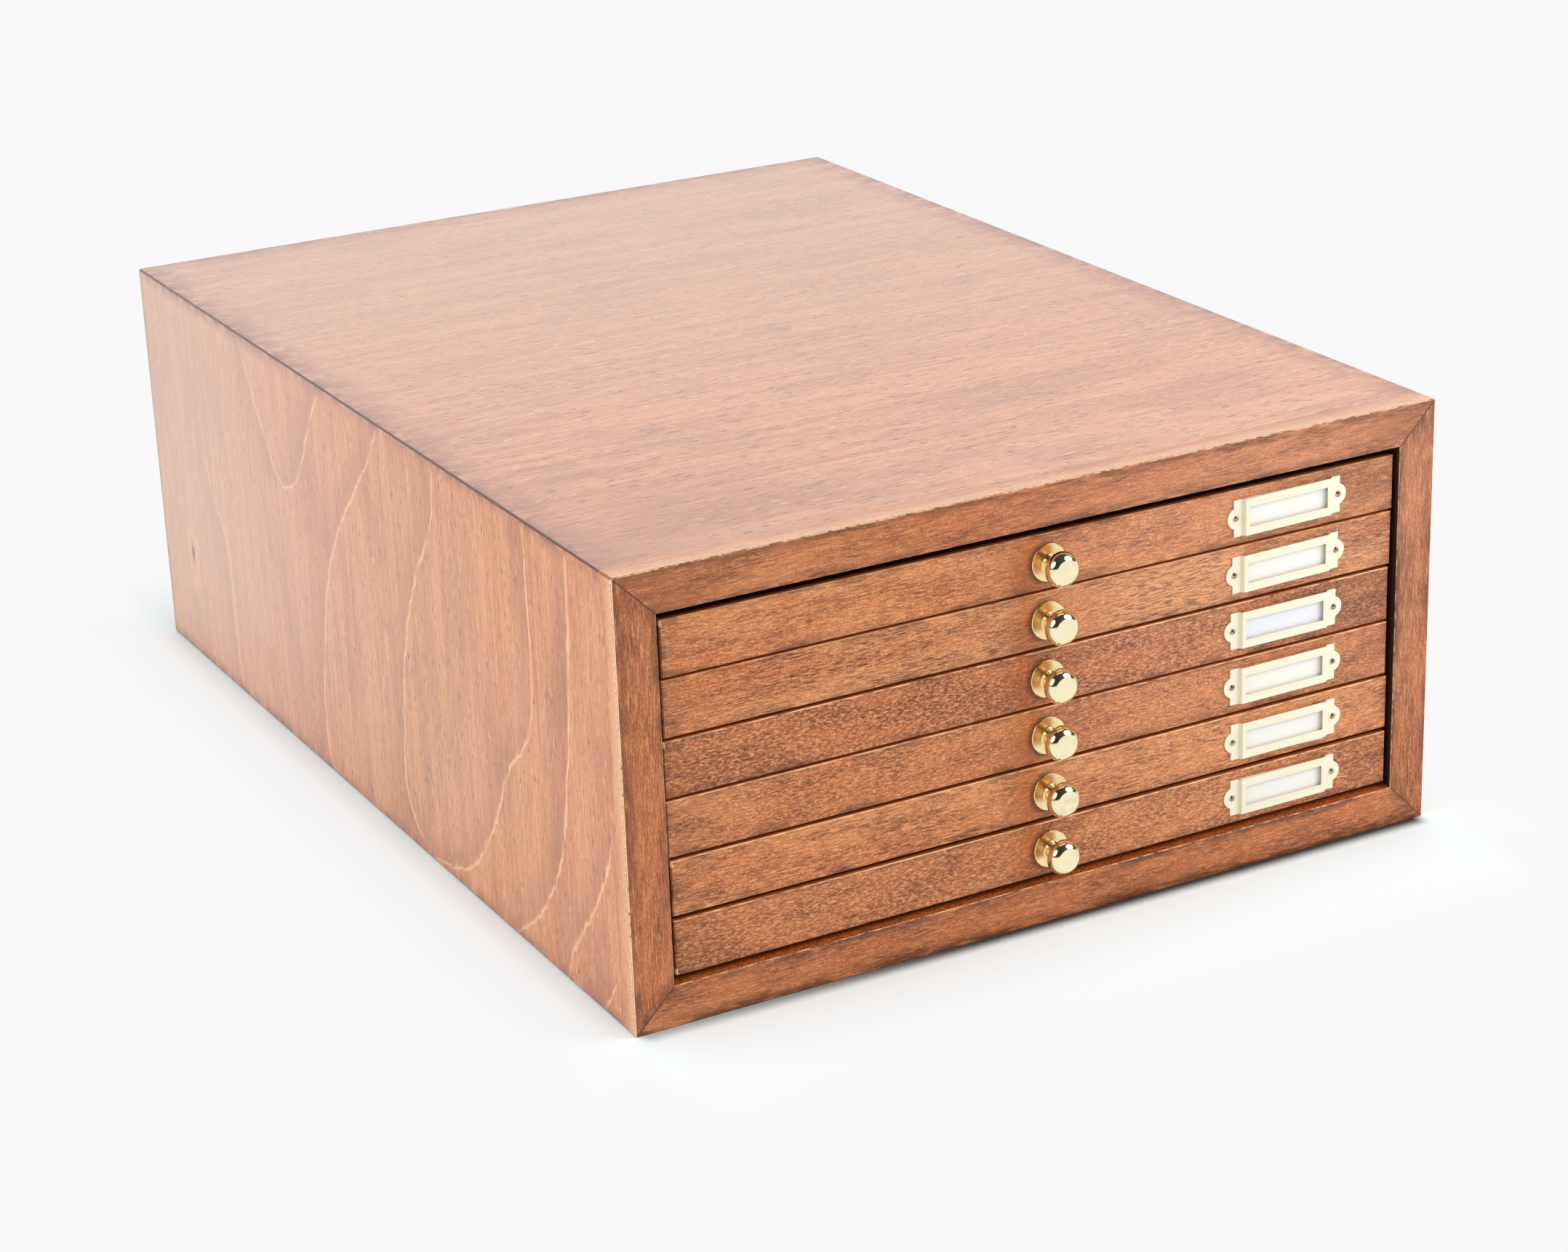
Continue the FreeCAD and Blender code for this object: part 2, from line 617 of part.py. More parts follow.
def knob(label, number):
    """Turned knob: a flat thin foot, a straight neck, and a domed head with a flat."""
    body = new_body(label)
    profile = new_sketch(body, "XY_Plane")
    bore = "(Sizes.screw + Sizes.hole_fit) / 2"
    bore_end = "-(Sizes.knob_thread + Sizes.knob_thread_spare)"
    foot, neck = "Sizes.knob_flange / 2", "Sizes.knob_neck / 2"
    head, face = "Sizes.knob_head / 2", "Sizes.knob_face / 2"
    dome_in, dome_up = f"({head} - {face})", "(Sizes.knob_length - Sizes.knob_rim_end)"
    dome = f"({dome_in} ^ 2 + {dome_up} ^ 2) / 2 / min({dome_in}; {dome_up})"
    add_outline(profile, [
        (bore, "0"),
        (bore, bore_end),
        ("0", bore_end),
        ("0", "-Sizes.knob_length"),
        (face, "-Sizes.knob_length", dome, 1),
        (head, "-Sizes.knob_rim_end"),
        (head, "Sizes.knob_rim - Sizes.knob_rim_end"),
        (neck, "-Sizes.knob_neck_end"),
        (neck, "-(Sizes.knob_edge + Sizes.knob_cove)", "Sizes.knob_cove", -1),
        (f"{neck} + Sizes.knob_cove", "-Sizes.knob_edge"),
        (f"{foot} - Sizes.knob_edge_round", "-Sizes.knob_edge", "Sizes.knob_edge_round", 1),
        (foot, "Sizes.knob_edge_round - Sizes.knob_edge"),
        (foot, "0"),
    ])
    revolve(body, profile)
    on_face(body, number, KNOB_X, KNOB_Z)
    return body


def label_holder(label, number):
    """Pressed frame: two lobed ears, and a window that is joggled forward to take a card."""
    body = new_body(label)
    plan = new_sketch(body, "XY_Plane")
    end, top = "Sizes.label_length / 2", "Sizes.label_raised / 2"
    foot = f"({top} + Sizes.label_joggle)"
    slope = "sqrt(Sizes.label_raise ^ 2 + Sizes.label_joggle ^ 2)"
    bend = f"(Sizes.label_sheet * ({slope} - Sizes.label_joggle) / Sizes.label_raise)"
    right = [
        (f"({top} - {bend})", "-Sizes.label_raise"),
        (f"({foot} - {bend})", "0"),
        (end, "0"),
        (end, "-Sizes.label_sheet"),
        (foot, "-Sizes.label_sheet"),
        (top, "-(Sizes.label_raise + Sizes.label_sheet)"),
    ]
    left = [(f"-{x}", y) for x, y in reversed(right)]
    add_outline(plan, right + left)
    pad(body, plan, "Sizes.label_height", both_ways=True)
    trim = new_sketch(body, "XZ_Plane", "2 * (Sizes.label_raise + Sizes.label_sheet)")
    shoulder, height = "Sizes.label_shoulder / 2", "Sizes.label_height / 2"
    outside_x, outside_z = f"({end} + Sizes.label_height)", f"({height} + Sizes.label_height)"
    add_rectangle(trim, f"-{outside_x}", outside_x, f"-{outside_z}", outside_z)
    stand = f"({end} - {shoulder})"
    chord = f"sqrt({stand} * (2 * Sizes.label_lobe - {stand}))"
    add_outline(trim, [
        (shoulder, f"-{height}"),
        (shoulder, f"-{chord}", "Sizes.label_lobe", 1),
        (shoulder, chord),
        (shoulder, height),
        (f"-{shoulder}", height),
        (f"-{shoulder}", chord, "Sizes.label_lobe", 1),
        (f"-{shoulder}", f"-{chord}"),
        (f"-{shoulder}", f"-{height}"),
    ])
    pocket(body, trim)
    openings = new_sketch(body, "XZ_Plane", "2 * (Sizes.label_raise + Sizes.label_sheet)")
    window_x, window_z = "Sizes.window_length / 2", "Sizes.window_height / 2"
    add_rectangle(openings, f"-{window_x}", window_x, f"-{window_z}", window_z)
    for sign in (-1, 1):
        add_circle(openings, f"{sign} * Sizes.label_pin_span / 2", "0", "Sizes.label_pin + Sizes.hole_fit")
    pocket(body, openings)
    tilt(body, f"Sizes.label_tilt_{number}")
    on_face(body, number, LABEL_X)
    return body


def label_card(label, number):
    """Blank card that stands between the window and the drawer's face."""
    body = new_body(label)
    outline = new_sketch(body, "XZ_Plane")
    half_length, half_height = "Sizes.card_length / 2", "Sizes.card_height / 2"
    add_rectangle(outline, f"-{half_length}", half_length, f"-{half_height}", half_height)
    pad(body, outline, "Sizes.card_thickness")
    tilt(body, f"Sizes.label_tilt_{number} + Sizes.card_turn_{number}")
    on_face(body, number, LABEL_X, f"Sizes.card_rise_{number}")
    return body


def knob_screw(number):
    body = new_body(f"drawer_{number}_screw")
    profile = new_sketch(body, "XY_Plane")
    seat = "(Sizes.front_thickness - Sizes.screw_sink)"
    add_outline(profile, [
        ("0", "-Sizes.knob_thread"),
        ("Sizes.screw / 2", "-Sizes.knob_thread"),
        ("Sizes.screw / 2", seat),
        ("Sizes.screw_head / 2", seat),
        ("Sizes.screw_head / 2", f"{seat} + Sizes.screw_head_height"),
        ("0", f"{seat} + Sizes.screw_head_height"),
    ])
    revolve(body, profile)
    on_face(body, number, KNOB_X, KNOB_Z)
    return body


def label_pin(number, x, z):
    """Round-headed pin through an ear of the label holder."""
    body = new_body(f"drawer_{number}_pin")
    profile = new_sketch(body, "XY_Plane")
    head, dome_height = "(Sizes.label_pin_head / 2)", "Sizes.label_pin_dome"
    dome = f"({head} ^ 2 + {dome_height} ^ 2) / 2 / {dome_height}"
    add_outline(profile, [
        ("0", f"-(Sizes.label_sheet + {dome_height})", dome, 1),
        (head, "-Sizes.label_sheet"),
        ("Sizes.label_pin / 2", "-Sizes.label_sheet"),
        ("Sizes.label_pin / 2", "Sizes.label_pin_length"),
        ("0", "Sizes.label_pin_length"),
    ])
    revolve(body, profile)
    on_face(body, number, x, z)
    return body


def drawer_fixings(label, number):
    pins = [label_pin(number, x, z) for x, z in label_pin_places(number)]
    return group(label, [knob_screw(number)] + pins)


def build():
    """Make every sub-part and return them with the number of solids that each has."""
    fill_sheet()
    made = []
    for edge, board in (("top", "top_panel"), ("bottom", "bottom_panel"), ("left", "left_side"),
                        ("right", "right_side")):
        made.append((case_board(board, edge), 1))
        made.append((lipping(f"{edge}_lipping", edge), 1))
    made.append((back_panel("back_panel"), 1))
    made.append((back_screws("back_screws"), sum(len(back_screw_places(edge)) for edge in CASE_CORNERS)))
    made.append((mitre_splines("mitre_splines"), len(CASE_CORNERS)))
    made.append((drawer_runners("drawer_runners"), 2 * DRAWERS))
    pieces = (("front", drawer_front, 1), ("tray_frame", tray_frame, 3), ("base", tray_base, 1),
              ("coin_board", coin_board, 1), ("knob", knob, 1), ("label_holder", label_holder, 1),
              ("label_card", label_card, 1), ("fixings", drawer_fixings, 3))
    for number in range(1, DRAWERS + 1):
        for name, make, solids in pieces:
            made.append((make(f"drawer_{number}_{name}", number), solids))
    doc.recompute()
    return made


def check(made):
    """Stop if any object failed or a sub-part isn't the sound solids it should be."""
    for item in doc.Objects:
        if "Invalid" in item.State or "Error" in item.State:
            raise RuntimeError(f"{item.Name} failed: {item.State}")
    for item, solids in made:
        shape = item.Shape
        if shape.isNull() or not shape.isValid() or len(shape.Solids) != solids:
            raise RuntimeError(f"{item.Label} has a bad shape")


def export(made):
    os.makedirs("parts", exist_ok=True)
    for item, _ in made:
        item.Shape.exportStep(f"parts/{item.Label}.step")
    print(f"wrote {len(made)} sub-parts")


sub_parts = build()
check(sub_parts)
export(sub_parts)
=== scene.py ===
"""Coin cabinet with six shallow drawers: finishes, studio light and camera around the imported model.

The frame is the cabinet's own: +X right, +Y back, +Z up, floor at z = 0, in metres. The patterns of a
finish are drawn in millimetres, and colours are written as they look, from 0 to 255.
"""

import math
from typing import NamedTuple

import bpy
from mathutils import Matrix, Vector


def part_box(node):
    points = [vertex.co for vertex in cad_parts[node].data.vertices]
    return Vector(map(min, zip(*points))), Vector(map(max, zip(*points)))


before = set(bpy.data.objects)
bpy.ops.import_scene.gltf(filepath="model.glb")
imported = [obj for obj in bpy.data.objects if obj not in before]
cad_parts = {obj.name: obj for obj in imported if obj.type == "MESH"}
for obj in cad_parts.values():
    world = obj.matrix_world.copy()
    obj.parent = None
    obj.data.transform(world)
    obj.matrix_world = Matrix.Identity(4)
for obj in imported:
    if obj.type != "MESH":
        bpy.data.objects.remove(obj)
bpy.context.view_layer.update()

bl_info = {
    "name": "Coin Cabinet",
    "version": (1, 0, 0),
    "blender": (4, 5, 0),
    "location": "View3D > Sidebar > Cabinet",
    "description": "Dresses a small coin cabinet in stained wood, brass and cream lacquer",
    "category": "Object",
}

DRAWERS = range(1, 7)
NEWER_CARD_DRAWER = 3
MM = 1000.0
WHITE = (1.0, 1.0, 1.0)
BLACK = (0.0, 0.0, 0.0)

# The case in millimetres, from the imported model: half its width, its front and back planes, its height
# and how wide its lippings are.
HALF_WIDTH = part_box("right_lipping")[1].x * MM
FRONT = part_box("top_lipping")[0].y * MM
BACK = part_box("left_side")[1].y * MM
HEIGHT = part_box("top_panel")[1].z * MM
LIPPING_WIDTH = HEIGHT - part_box("top_lipping")[0].z * MM

# The lacquer: how much of it shines on the veneer and on the standing edges, and its roughness.
GLOSS = 0.9
DULL_GLOSS = 0.1
GLOSS_ROUGHNESS = 0.3
# How little the stained solid wood shines, and how deep the relief of all the wood is in millimetres.
STAIN_SPECULAR = 0.3
WOOD_RELIEF = 0.02
# How white the background is, and the floor where it goes over into it.
BACKGROUND_WHITE = 0.96
FLOOR_WHITE = 0.945

# Pale growth lines of the side veneer, drawn as listed points: height above the floor, distance behind
# the front.
SIDE_LINES = (
    ((129, 346), (134, 355), (145, 363), (160, 374), (178, 385), (191, 391)),
    ((129, 346), (134, 333), (147, 321), (169, 307), (191, 290)),
    ((0, 313), (30, 316), (60, 310), (97, 299), (130, 278), (154, 255), (173, 237), (191, 225)),
    ((2, 196), (7, 208), (19, 219), (55, 219), (97, 210), (133, 193), (164, 172), (191, 168)),
    ((2, 196), (8, 165), (33, 134), (72, 109), (100, 84), (125, 79), (166, 79), (191, 78)),
    ((0, 111), (11, 95), (25, 79), (47, 63), (75, 54), (130, 44), (191, 40)),
    ((0, 61), (19, 51), (36, 37), (58, 21), (80, 12)),
    ((0, 27), (6, 23), (17, 14)),
    ((0, 428), (44, 432), (69, 432), (83, 437), (97, 448), (114, 454)),
)
# The same for the top veneer: distance from the left edge, distance behind the front.
TOP_LINES = (
    ((12, 171), (15, 180), (33, 192), (52, 199), (75, 205), (110, 214)),
    ((12, 171), (17, 162), (28, 156), (47, 149), (66, 142), (100, 136)),
    ((205, 182), (220, 193), (237, 200), (257, 203), (285, 207)),
    ((205, 182), (213, 177), (232, 171), (257, 166), (295, 159), (350, 151)),
    ((10, 255), (47, 265), (75, 276), (110, 283), (135, 318), (160, 344), (185, 359), (257, 365)),
    ((230, 308), (246, 317), (268, 323), (295, 330), (350, 334)),
)
# Small knot of the side veneer: distance behind the front and height above the floor.
SIDE_KNOT = (486, 55)


class VeneerCut(NamedTuple):
    """How the veneer of the lying or of the standing boards looks.

    strength is how strongly its grain shows, pale how strongly its growth lines show, and halo and seam
    are the widths in millimetres of the smoky and of the dark stain along its borders.
    """

    lines: tuple
    strength: float
    pale: float
    halo: float
    seam: float


LYING = VeneerCut(TOP_LINES, strength=1.5, pale=0.3, halo=22.0, seam=5.0)
STANDING = VeneerCut(SIDE_LINES, strength=1.1, pale=0.8, halo=8.0, seam=3.5)


def linear(red, green, blue):
    """A colour written as it looks, 0 to 255, in linear values from 0 to 1."""
    shares = (channel / 255 for channel in (red, green, blue))
    return tuple(s / 12.92 if s <= 0.04045 else ((s + 0.055) / 1.055) ** 2.4 for s in shares)


def colour(name, description, red, green, blue):
    """A colour property whose default is written as it looks."""
    return bpy.props.FloatVectorProperty(
        name=name, description=description, default=linear(red, green, blue),
        size=3, min=0.0, max=1.0, subtype="COLOR")


def share(name, description, default):
    """A property from 0 to 1."""
    return bpy.props.FloatProperty(
        name=name, description=description, default=default, min=0.0, max=1.0, subtype="FACTOR")


def brightness(name, description, default):
    """A property for the light of the studio, where 1 is white."""
    return bpy.props.FloatProperty(
        name=name, description=description, default=default, min=0.0, soft_max=4.0)


def power(name, description, watts):
    """A property for the power of a lamp."""
    return bpy.props.FloatProperty(
        name=name, description=description, default=watts, min=0.0, soft_max=100.0, unit="POWER")


def length(name, description, metres):
    """A length property."""
    return bpy.props.FloatProperty(
        name=name, description=description, default=metres, min=0.0, unit="LENGTH")


def position(name, description, x, y, z):
    """A property for a place in the cabinet's frame, in metres."""
    return bpy.props.FloatVectorProperty(
        name=name, description=description, default=(x, y, z),
        size=3, subtype="TRANSLATION", unit="LENGTH")


def angle(name, description, degrees):
    """An angle property, written in degrees."""
    return bpy.props.FloatProperty(
        name=name, description=description, default=math.radians(degrees),
        subtype="ANGLE", unit="ROTATION")


class CabinetWood(bpy.types.PropertyGroup):
    """The stained and lacquered wood of the case and the drawer fronts."""

    light: colour("Light fleck", "Clear wood between the pores of the solid parts", 241, 169, 114)
    ground: colour("Ground", "Middle tone of the solid parts", 198, 115, 68)
    golden: colour("Golden ground", "Yellower tone of the solid parts", 214, 142, 90)
    dark: colour("Pores", "Stain that has gathered in the pores", 86, 40, 26)
    edge: colour("Edge stain", "Stain that has gathered along the borders", 84, 48, 38)
    # Raw stain of the narrow faces; round each knob it is also a painted warm reflection of the brass.
    bare: colour("Raw stain", "Warm stain on narrow faces and round the knobs", 190, 98, 42)
    # Painted shade: faces that look inwards, into the gaps between the parts, are painted dark.
    shade: colour("Inner faces", "Dull stain on faces that look inwards", 54, 31, 22)
    veneer_light: colour("Veneer streak", "Light streaks of the case's veneer", 222, 156, 114)
    veneer_ground: colour("Veneer ground", "Middle tone of the case's veneer", 194, 122, 82)
    smoke: colour("Smoky patch", "Dull patches in the veneer", 166, 106, 84)
    # Painted sheen: the veneer is painted paler towards the back, in place of the lacquer's reflection
    # of the bright backdrop.
    faded: colour("Faded veneer", "Veneer that light has bleached towards the back", 236, 202, 180)
    line: colour("Growth line", "Pale growth lines of the veneer", 240, 186, 142)
    # Pale worn edges, partly also a painted highlight along the arrises.
    worn: colour("Worn edge", "Wood that rubbing has bared along the edges", 255, 212, 166)
    # Painted sheen: the outer faces of the lippings are painted paler towards the front.
    sandy: colour("Sandy face", "Outer faces of the lippings", 236, 184, 144)
    haze: colour("Hazy lacquer", "Lacquer that has gone hazy on the front", 200, 172, 160)
    roughness: share("Roughness", "Roughness of the satin lacquer", 0.45)


class CabinetMetal(bpy.types.PropertyGroup):
    """The brass and steel of the fittings."""

    brass: colour("Brass", "Polished brass of the knobs' heads", 255, 243, 204)
    satin: colour("Satin brass", "Brushed brass of the knobs' feet and necks", 254, 232, 176)
    tarnish: colour("Tarnish", "Brass where it has dulled", 226, 190, 124)
    pin: colour("Pins", "Plated label pins", 206, 190, 156)
    pin_dark: colour("Pin tarnish", "Label pins where they have dulled", 132, 110, 74)
    steel: colour("Steel", "Screws in the back", 168, 166, 162)
    polish: share("Head roughness", "Roughness of the knobs' heads", 0.06)
    brushed: share("Foot roughness", "Roughness of the knobs' feet and necks", 0.12)


class CabinetLabel(bpy.types.PropertyGroup):
    """The label holders and their blank cards."""

    cream: colour("Cream lacquer", "Lacquer of the label holders", 233, 226, 203)
    # This colour and the bared one below are also painted on faces that turn away from the front, as
    # painted shade.
    yellowed: colour("Yellowed lacquer", "Lacquer in the corners and on the edges", 232, 212, 160)
    bared: colour("Bared metal", "Spots where the lacquer has worn through", 150, 128, 84)
    card: colour("Card", "Blank card", 239, 235, 227)
    cool_card: colour("Cool card", "The newer card in the third drawer", 231, 231, 236)


class CabinetTray(bpy.types.PropertyGroup):
    """What the case hides: trays, plywood, felt and runners."""

    tray: colour("Tray wood", "Pale wood of the tray sides", 222, 190, 146)
    tray_dark: colour("Tray grain", "Darker grain of the tray sides", 192, 148, 108)
    plywood: colour("Plywood", "Face of the tray bases and the back", 222, 184, 146)
    felt: colour("Felt", "Felt of the coin boards", 112, 22, 30)
    felt_light: colour("Felt fibres", "Loose fibres on the felt", 158, 62, 62)


class CabinetStage(bpy.types.PropertyGroup):
    """The floor, the light and the camera."""

    floor: colour("Floor", "Pale studio floor", 236, 244, 246)
    # Painted shadow: the dark line on the floor close under the front edge.
    contact: colour("Shadow line", "Floor close under the front edge", 44, 31, 26)
    ambient: brightness("Ambient", "Light from all round", 0.08)
    overhead: brightness("Overhead", "What is added to it from straight above", 1.28)
    studio: brightness("Studio", "How bright the unlit part of the studio is in reflections", 0.035)
    key: power("Key light", "Power of the softbox at the right", 5.0)
    key_place: position("Key place", "Where the softbox at the right stands", 0.70, -0.66, 0.42)
    key_side: length("Key size", "Side of the square softbox at the right", 0.55)
    fill: power("Fill light", "Power of the softbox at the left", 5.2)
    fill_place: position("Fill place", "Where the softbox at the left stands", -1.15, -0.35, 0.58)
    fill_side: length("Fill size", "Side of the square softbox at the left", 0.8)
    eye: position("Camera", "Where the camera stands", -0.71636, -1.38160, 0.64762)
    heading: angle("Heading", "Turn of the camera from looking straight back to the right", 28.059)
    tilt: angle("Tilt", "How far the camera looks down", 21.162)
    roll: angle("Roll", "How far the camera leans to the right", 2.105)
    lens: bpy.props.FloatProperty(
        name="Lens", description="Focal length", default=81.38, min=1.0, unit="CAMERA")


class Value:
    """A socket that varies over a surface. Arithmetic on it adds Math nodes."""

    def __init__(self, paint, socket):
        self.paint = paint
        self.socket = socket

    def __add__(self, other):
        return self.paint.math("ADD", self, other)

    def __radd__(self, other):
        return self.paint.math("ADD", other, self)

    def __sub__(self, other):
        return self.paint.math("SUBTRACT", self, other)

    def __rsub__(self, other):
        return self.paint.math("SUBTRACT", other, self)

    def __mul__(self, other):
        return self.paint.math("MULTIPLY", self, other)

    def __rmul__(self, other):
        return self.paint.math("MULTIPLY", other, self)

    def __truediv__(self, other):
        return self.paint.math("DIVIDE", self, other)

    def __pow__(self, other):
        return self.paint.math("POWER", self, other)

    def __abs__(self):
        return self.paint.math("ABSOLUTE", self)

    def least(self, other):
        return self.paint.math("MINIMUM", self, other)

    def most(self, other):
        return self.paint.math("MAXIMUM", self, other)

    def rise(self, low, high):
        """0 below low, 1 above high, and a smooth step between them."""
        return self.paint.node(
            "ShaderNodeMapRange", {"interpolation_type": "SMOOTHSTEP"},
            {0: self, 1: low, 2: high})

    def fall(self, low, high):
        """1 below low, 0 above high, and a smooth step between them."""
        return self.paint.node(
            "ShaderNodeMapRange", {"interpolation_type": "SMOOTHSTEP"},
            {0: self, 1: low, 2: high, 3: 1.0, 4: 0.0})


class Paint:
    """One node tree, of a material or the world, built by expressions on Values."""

    def __init__(self, owner):
        owner.use_nodes = True
        self.tree = owner.node_tree
        self.tree.nodes.clear()

    def node(self, kind, settings=None, sockets=None, output=0):
        """Adds a node, sets it up, feeds its sockets and returns one of its outputs."""
        made = self.tree.nodes.new(kind)
        for name, setting in (settings or {}).items():
            if name == "curve":
                self.draw_curve(made.mapping, setting)
            else:
                setattr(made, name, setting)
        for name, value in (sockets or {}).items():
            self.feed(made.inputs[name], value)
        return Value(self, made.outputs[output]) if made.outputs else made

    def feed(self, socket, value):
        """Links a Value to a socket, or writes a number or colour on it."""
        if isinstance(value, Value):
            self.tree.links.new(value.socket, socket)
        elif socket.type == "RGBA":
            socket.default_value = (*value[:3], 1.0)
        else:
            socket.default_value = value

    def draw_curve(self, mapping, points):
        """Puts the points of a float curve in place of the straight line that it starts with."""
        curve = mapping.curves[0]
        for point in points[2:]:
            curve.points.new(*point)
        for slot, point in zip(curve.points, points):
            slot.location = point
        mapping.update()

    def math(self, operation, *terms):
        return self.node("ShaderNodeMath", {"operation": operation}, dict(enumerate(terms)))

    def split(self, vector):
        """The three parts of a vector."""
        parts = self.node("ShaderNodeSeparateXYZ", {}, {0: vector}).socket.node.outputs
        return tuple(Value(self, part) for part in parts)

    def join(self, x, y, z):
        return self.node("ShaderNodeCombineXYZ", {}, {0: x, 1: y, 2: z})

    def place(self):
        """Millimetres along X, Y and Z in the cabinet's frame."""
        spot = self.node("ShaderNodeTexCoord", output="Object")
        return self.split(self.node(
            "ShaderNodeVectorMath", {"operation": "SCALE"}, {0: spot, "Scale": MM}))

    def noise(self, place, sizes, seed=0.0, detail=2.0):
        """Soft noise from 0 to 1, whose blotches have the given sizes in millimetres."""
        steps = self.node(
            "ShaderNodeVectorMath", {"operation": "MULTIPLY_ADD"},
            {0: self.join(*place), 1: tuple(1 / size for size in sizes), 2: (seed, 1.7 * seed, -seed)})
        return self.node("ShaderNodeTexNoise", {}, {"Vector": steps, "Scale": 1.0, "Detail": detail})

    def mix(self, factor, first, second):
        """From the first colour to the second as factor goes from 0 to 1."""
        return self.node(
            "ShaderNodeMix", {"data_type": "RGBA"}, {0: factor, 6: first, 7: second}, output=2)

    def turned(self, place, axis, amount):
        """Normals of fine grooves turned about an axis along Y, given by its x and z."""
        x, y, z = place
        right, up = x - axis[0], z - axis[1]
        grooves = self.noise(((right * right + up * up) ** 0.5, y, 0.0), (0.05, 0.05, 1.0))
        normal = self.node("ShaderNodeNewGeometry", output="Normal")
        across = self.node("ShaderNodeVectorMath", {"operation": "NORMALIZE"}, {0: self.node(
            "ShaderNodeVectorMath", {"operation": "CROSS_PRODUCT"},
            {0: self.join(0 - up, 0.0, right), 1: normal})})
        tilted = self.node(
            "ShaderNodeVectorMath", {"operation": "MULTIPLY_ADD"},
            {0: across, 1: (grooves - 0.5) * amount, 2: normal})
        return self.node("ShaderNodeVectorMath", {"operation": "NORMALIZE"}, {0: tilted})

    def bump(self, height, depth):
        """Normals of a relief whose height goes from 0 to 1 over the depth in millimetres."""
        return self.node(
            "ShaderNodeBump", {}, {"Height": height, "Strength": 1.0, "Distance": depth / MM})

    def surface(self, **sockets):
        """The material's shader, with its sockets by name, such as base_color."""
        named = {name.replace("_", " ").title(): value for name, value in sockets.items()}
        named = {name.replace("Ior", "IOR"): value for name, value in named.items()}
        shader = self.node("ShaderNodeBsdfPrincipled", {}, named)
        self.node("ShaderNodeOutputMaterial", {}, {"Surface": shader})


def new_finish(name):
    """A new material and the Paint that builds it."""
    material = bpy.data.materials.new(name)
    return material, Paint(material)


def finish_node(node, material):
    """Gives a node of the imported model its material."""
    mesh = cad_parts[node].data
    mesh.materials.clear()
    mesh.materials.append(material)


def growth_lines(paint, along, across, lines, reach):
    """Masks of pale growth lines, curves of across over along, and of the smoky wood behind them."""
    step = 2.0
    pale, smoky = 0.0, 0.0
    for points in lines:
        first, last = points[0][0], points[-1][0]
        curve = {"curve": [((a - first) / (last - first), b / reach) for a, b in points]}
        here = paint.node("ShaderNodeFloatCurve", curve, {"Value": (along - first) / (last - first)})
        ahead = paint.node(
            "ShaderNodeFloatCurve", curve, {"Value": (along - first + step) / (last - first)})
        slope = (ahead - here) * (reach / step)
        distance = (across - here * reach) / (1 + slope * slope) ** 0.5
        inside = along.rise(first - 1, first + 1) * along.fall(last - 4, last + 1)
        pale = (abs(distance).fall(0.3, 1.1) * inside).most(pale)
        smoky = (distance.rise(0.5, 2.5) * distance.fall(3, 22) * inside).most(smoky)
    return pale, smoky


def veneer_tone(paint, look, spot, strength=1.0):
    """Colour and relief of the veneer by itself, with its grain along the first coordinate."""
    hair = paint.noise(spot, (40, 0.9, 0.9), 1.3, 3.0)
    band = paint.noise(spot, (170, 8, 8), 7.1, 3.0)
    cloud = paint.noise(spot, (60, 22, 22), 9.2, 3.0)
    pore = paint.noise(spot, (6, 0.9, 0.9), 2.2).rise(0.60, 0.67)
    speck = paint.noise(spot, (7, 0.8, 0.8), 6.6).rise(0.60, 0.68)
    tone = 0.08 + hair.rise(0.36, 0.64) * 0.5 + band.rise(0.36, 0.64) * 0.35
    tone = 0.5 + (tone - 0.5) * strength
    base = paint.mix(tone, look.veneer_ground, look.veneer_light)
    base = paint.mix(cloud.rise(0.48, 0.68) * 0.4, base, look.smoke)
    base = paint.mix(speck * (0.6 * strength), base, look.line)
    base = paint.mix(pore * (0.5 * strength), base, look.dark)
    return base, hair * 0.3 - pore


def border_stain(paint, cut, side, rear, spot):
    """Masks of the smoky halo and the dark seam along the borders of a case board.

    side and rear are the distances to its nearest long edge and to its rear edge.
    """
    rough = paint.noise(spot, (8, 6, 6), 4.4, 3.0)
    halo = side.least(rear + 3).fall(0.0, cut.halo) * rough.rise(0.25, 0.6) * 0.8
    seam = side.fall(0.0, cut.seam) * rough.rise(0.40, 0.65) * 0.45
    return halo, seam.most(side.fall(0.5, 1.1))


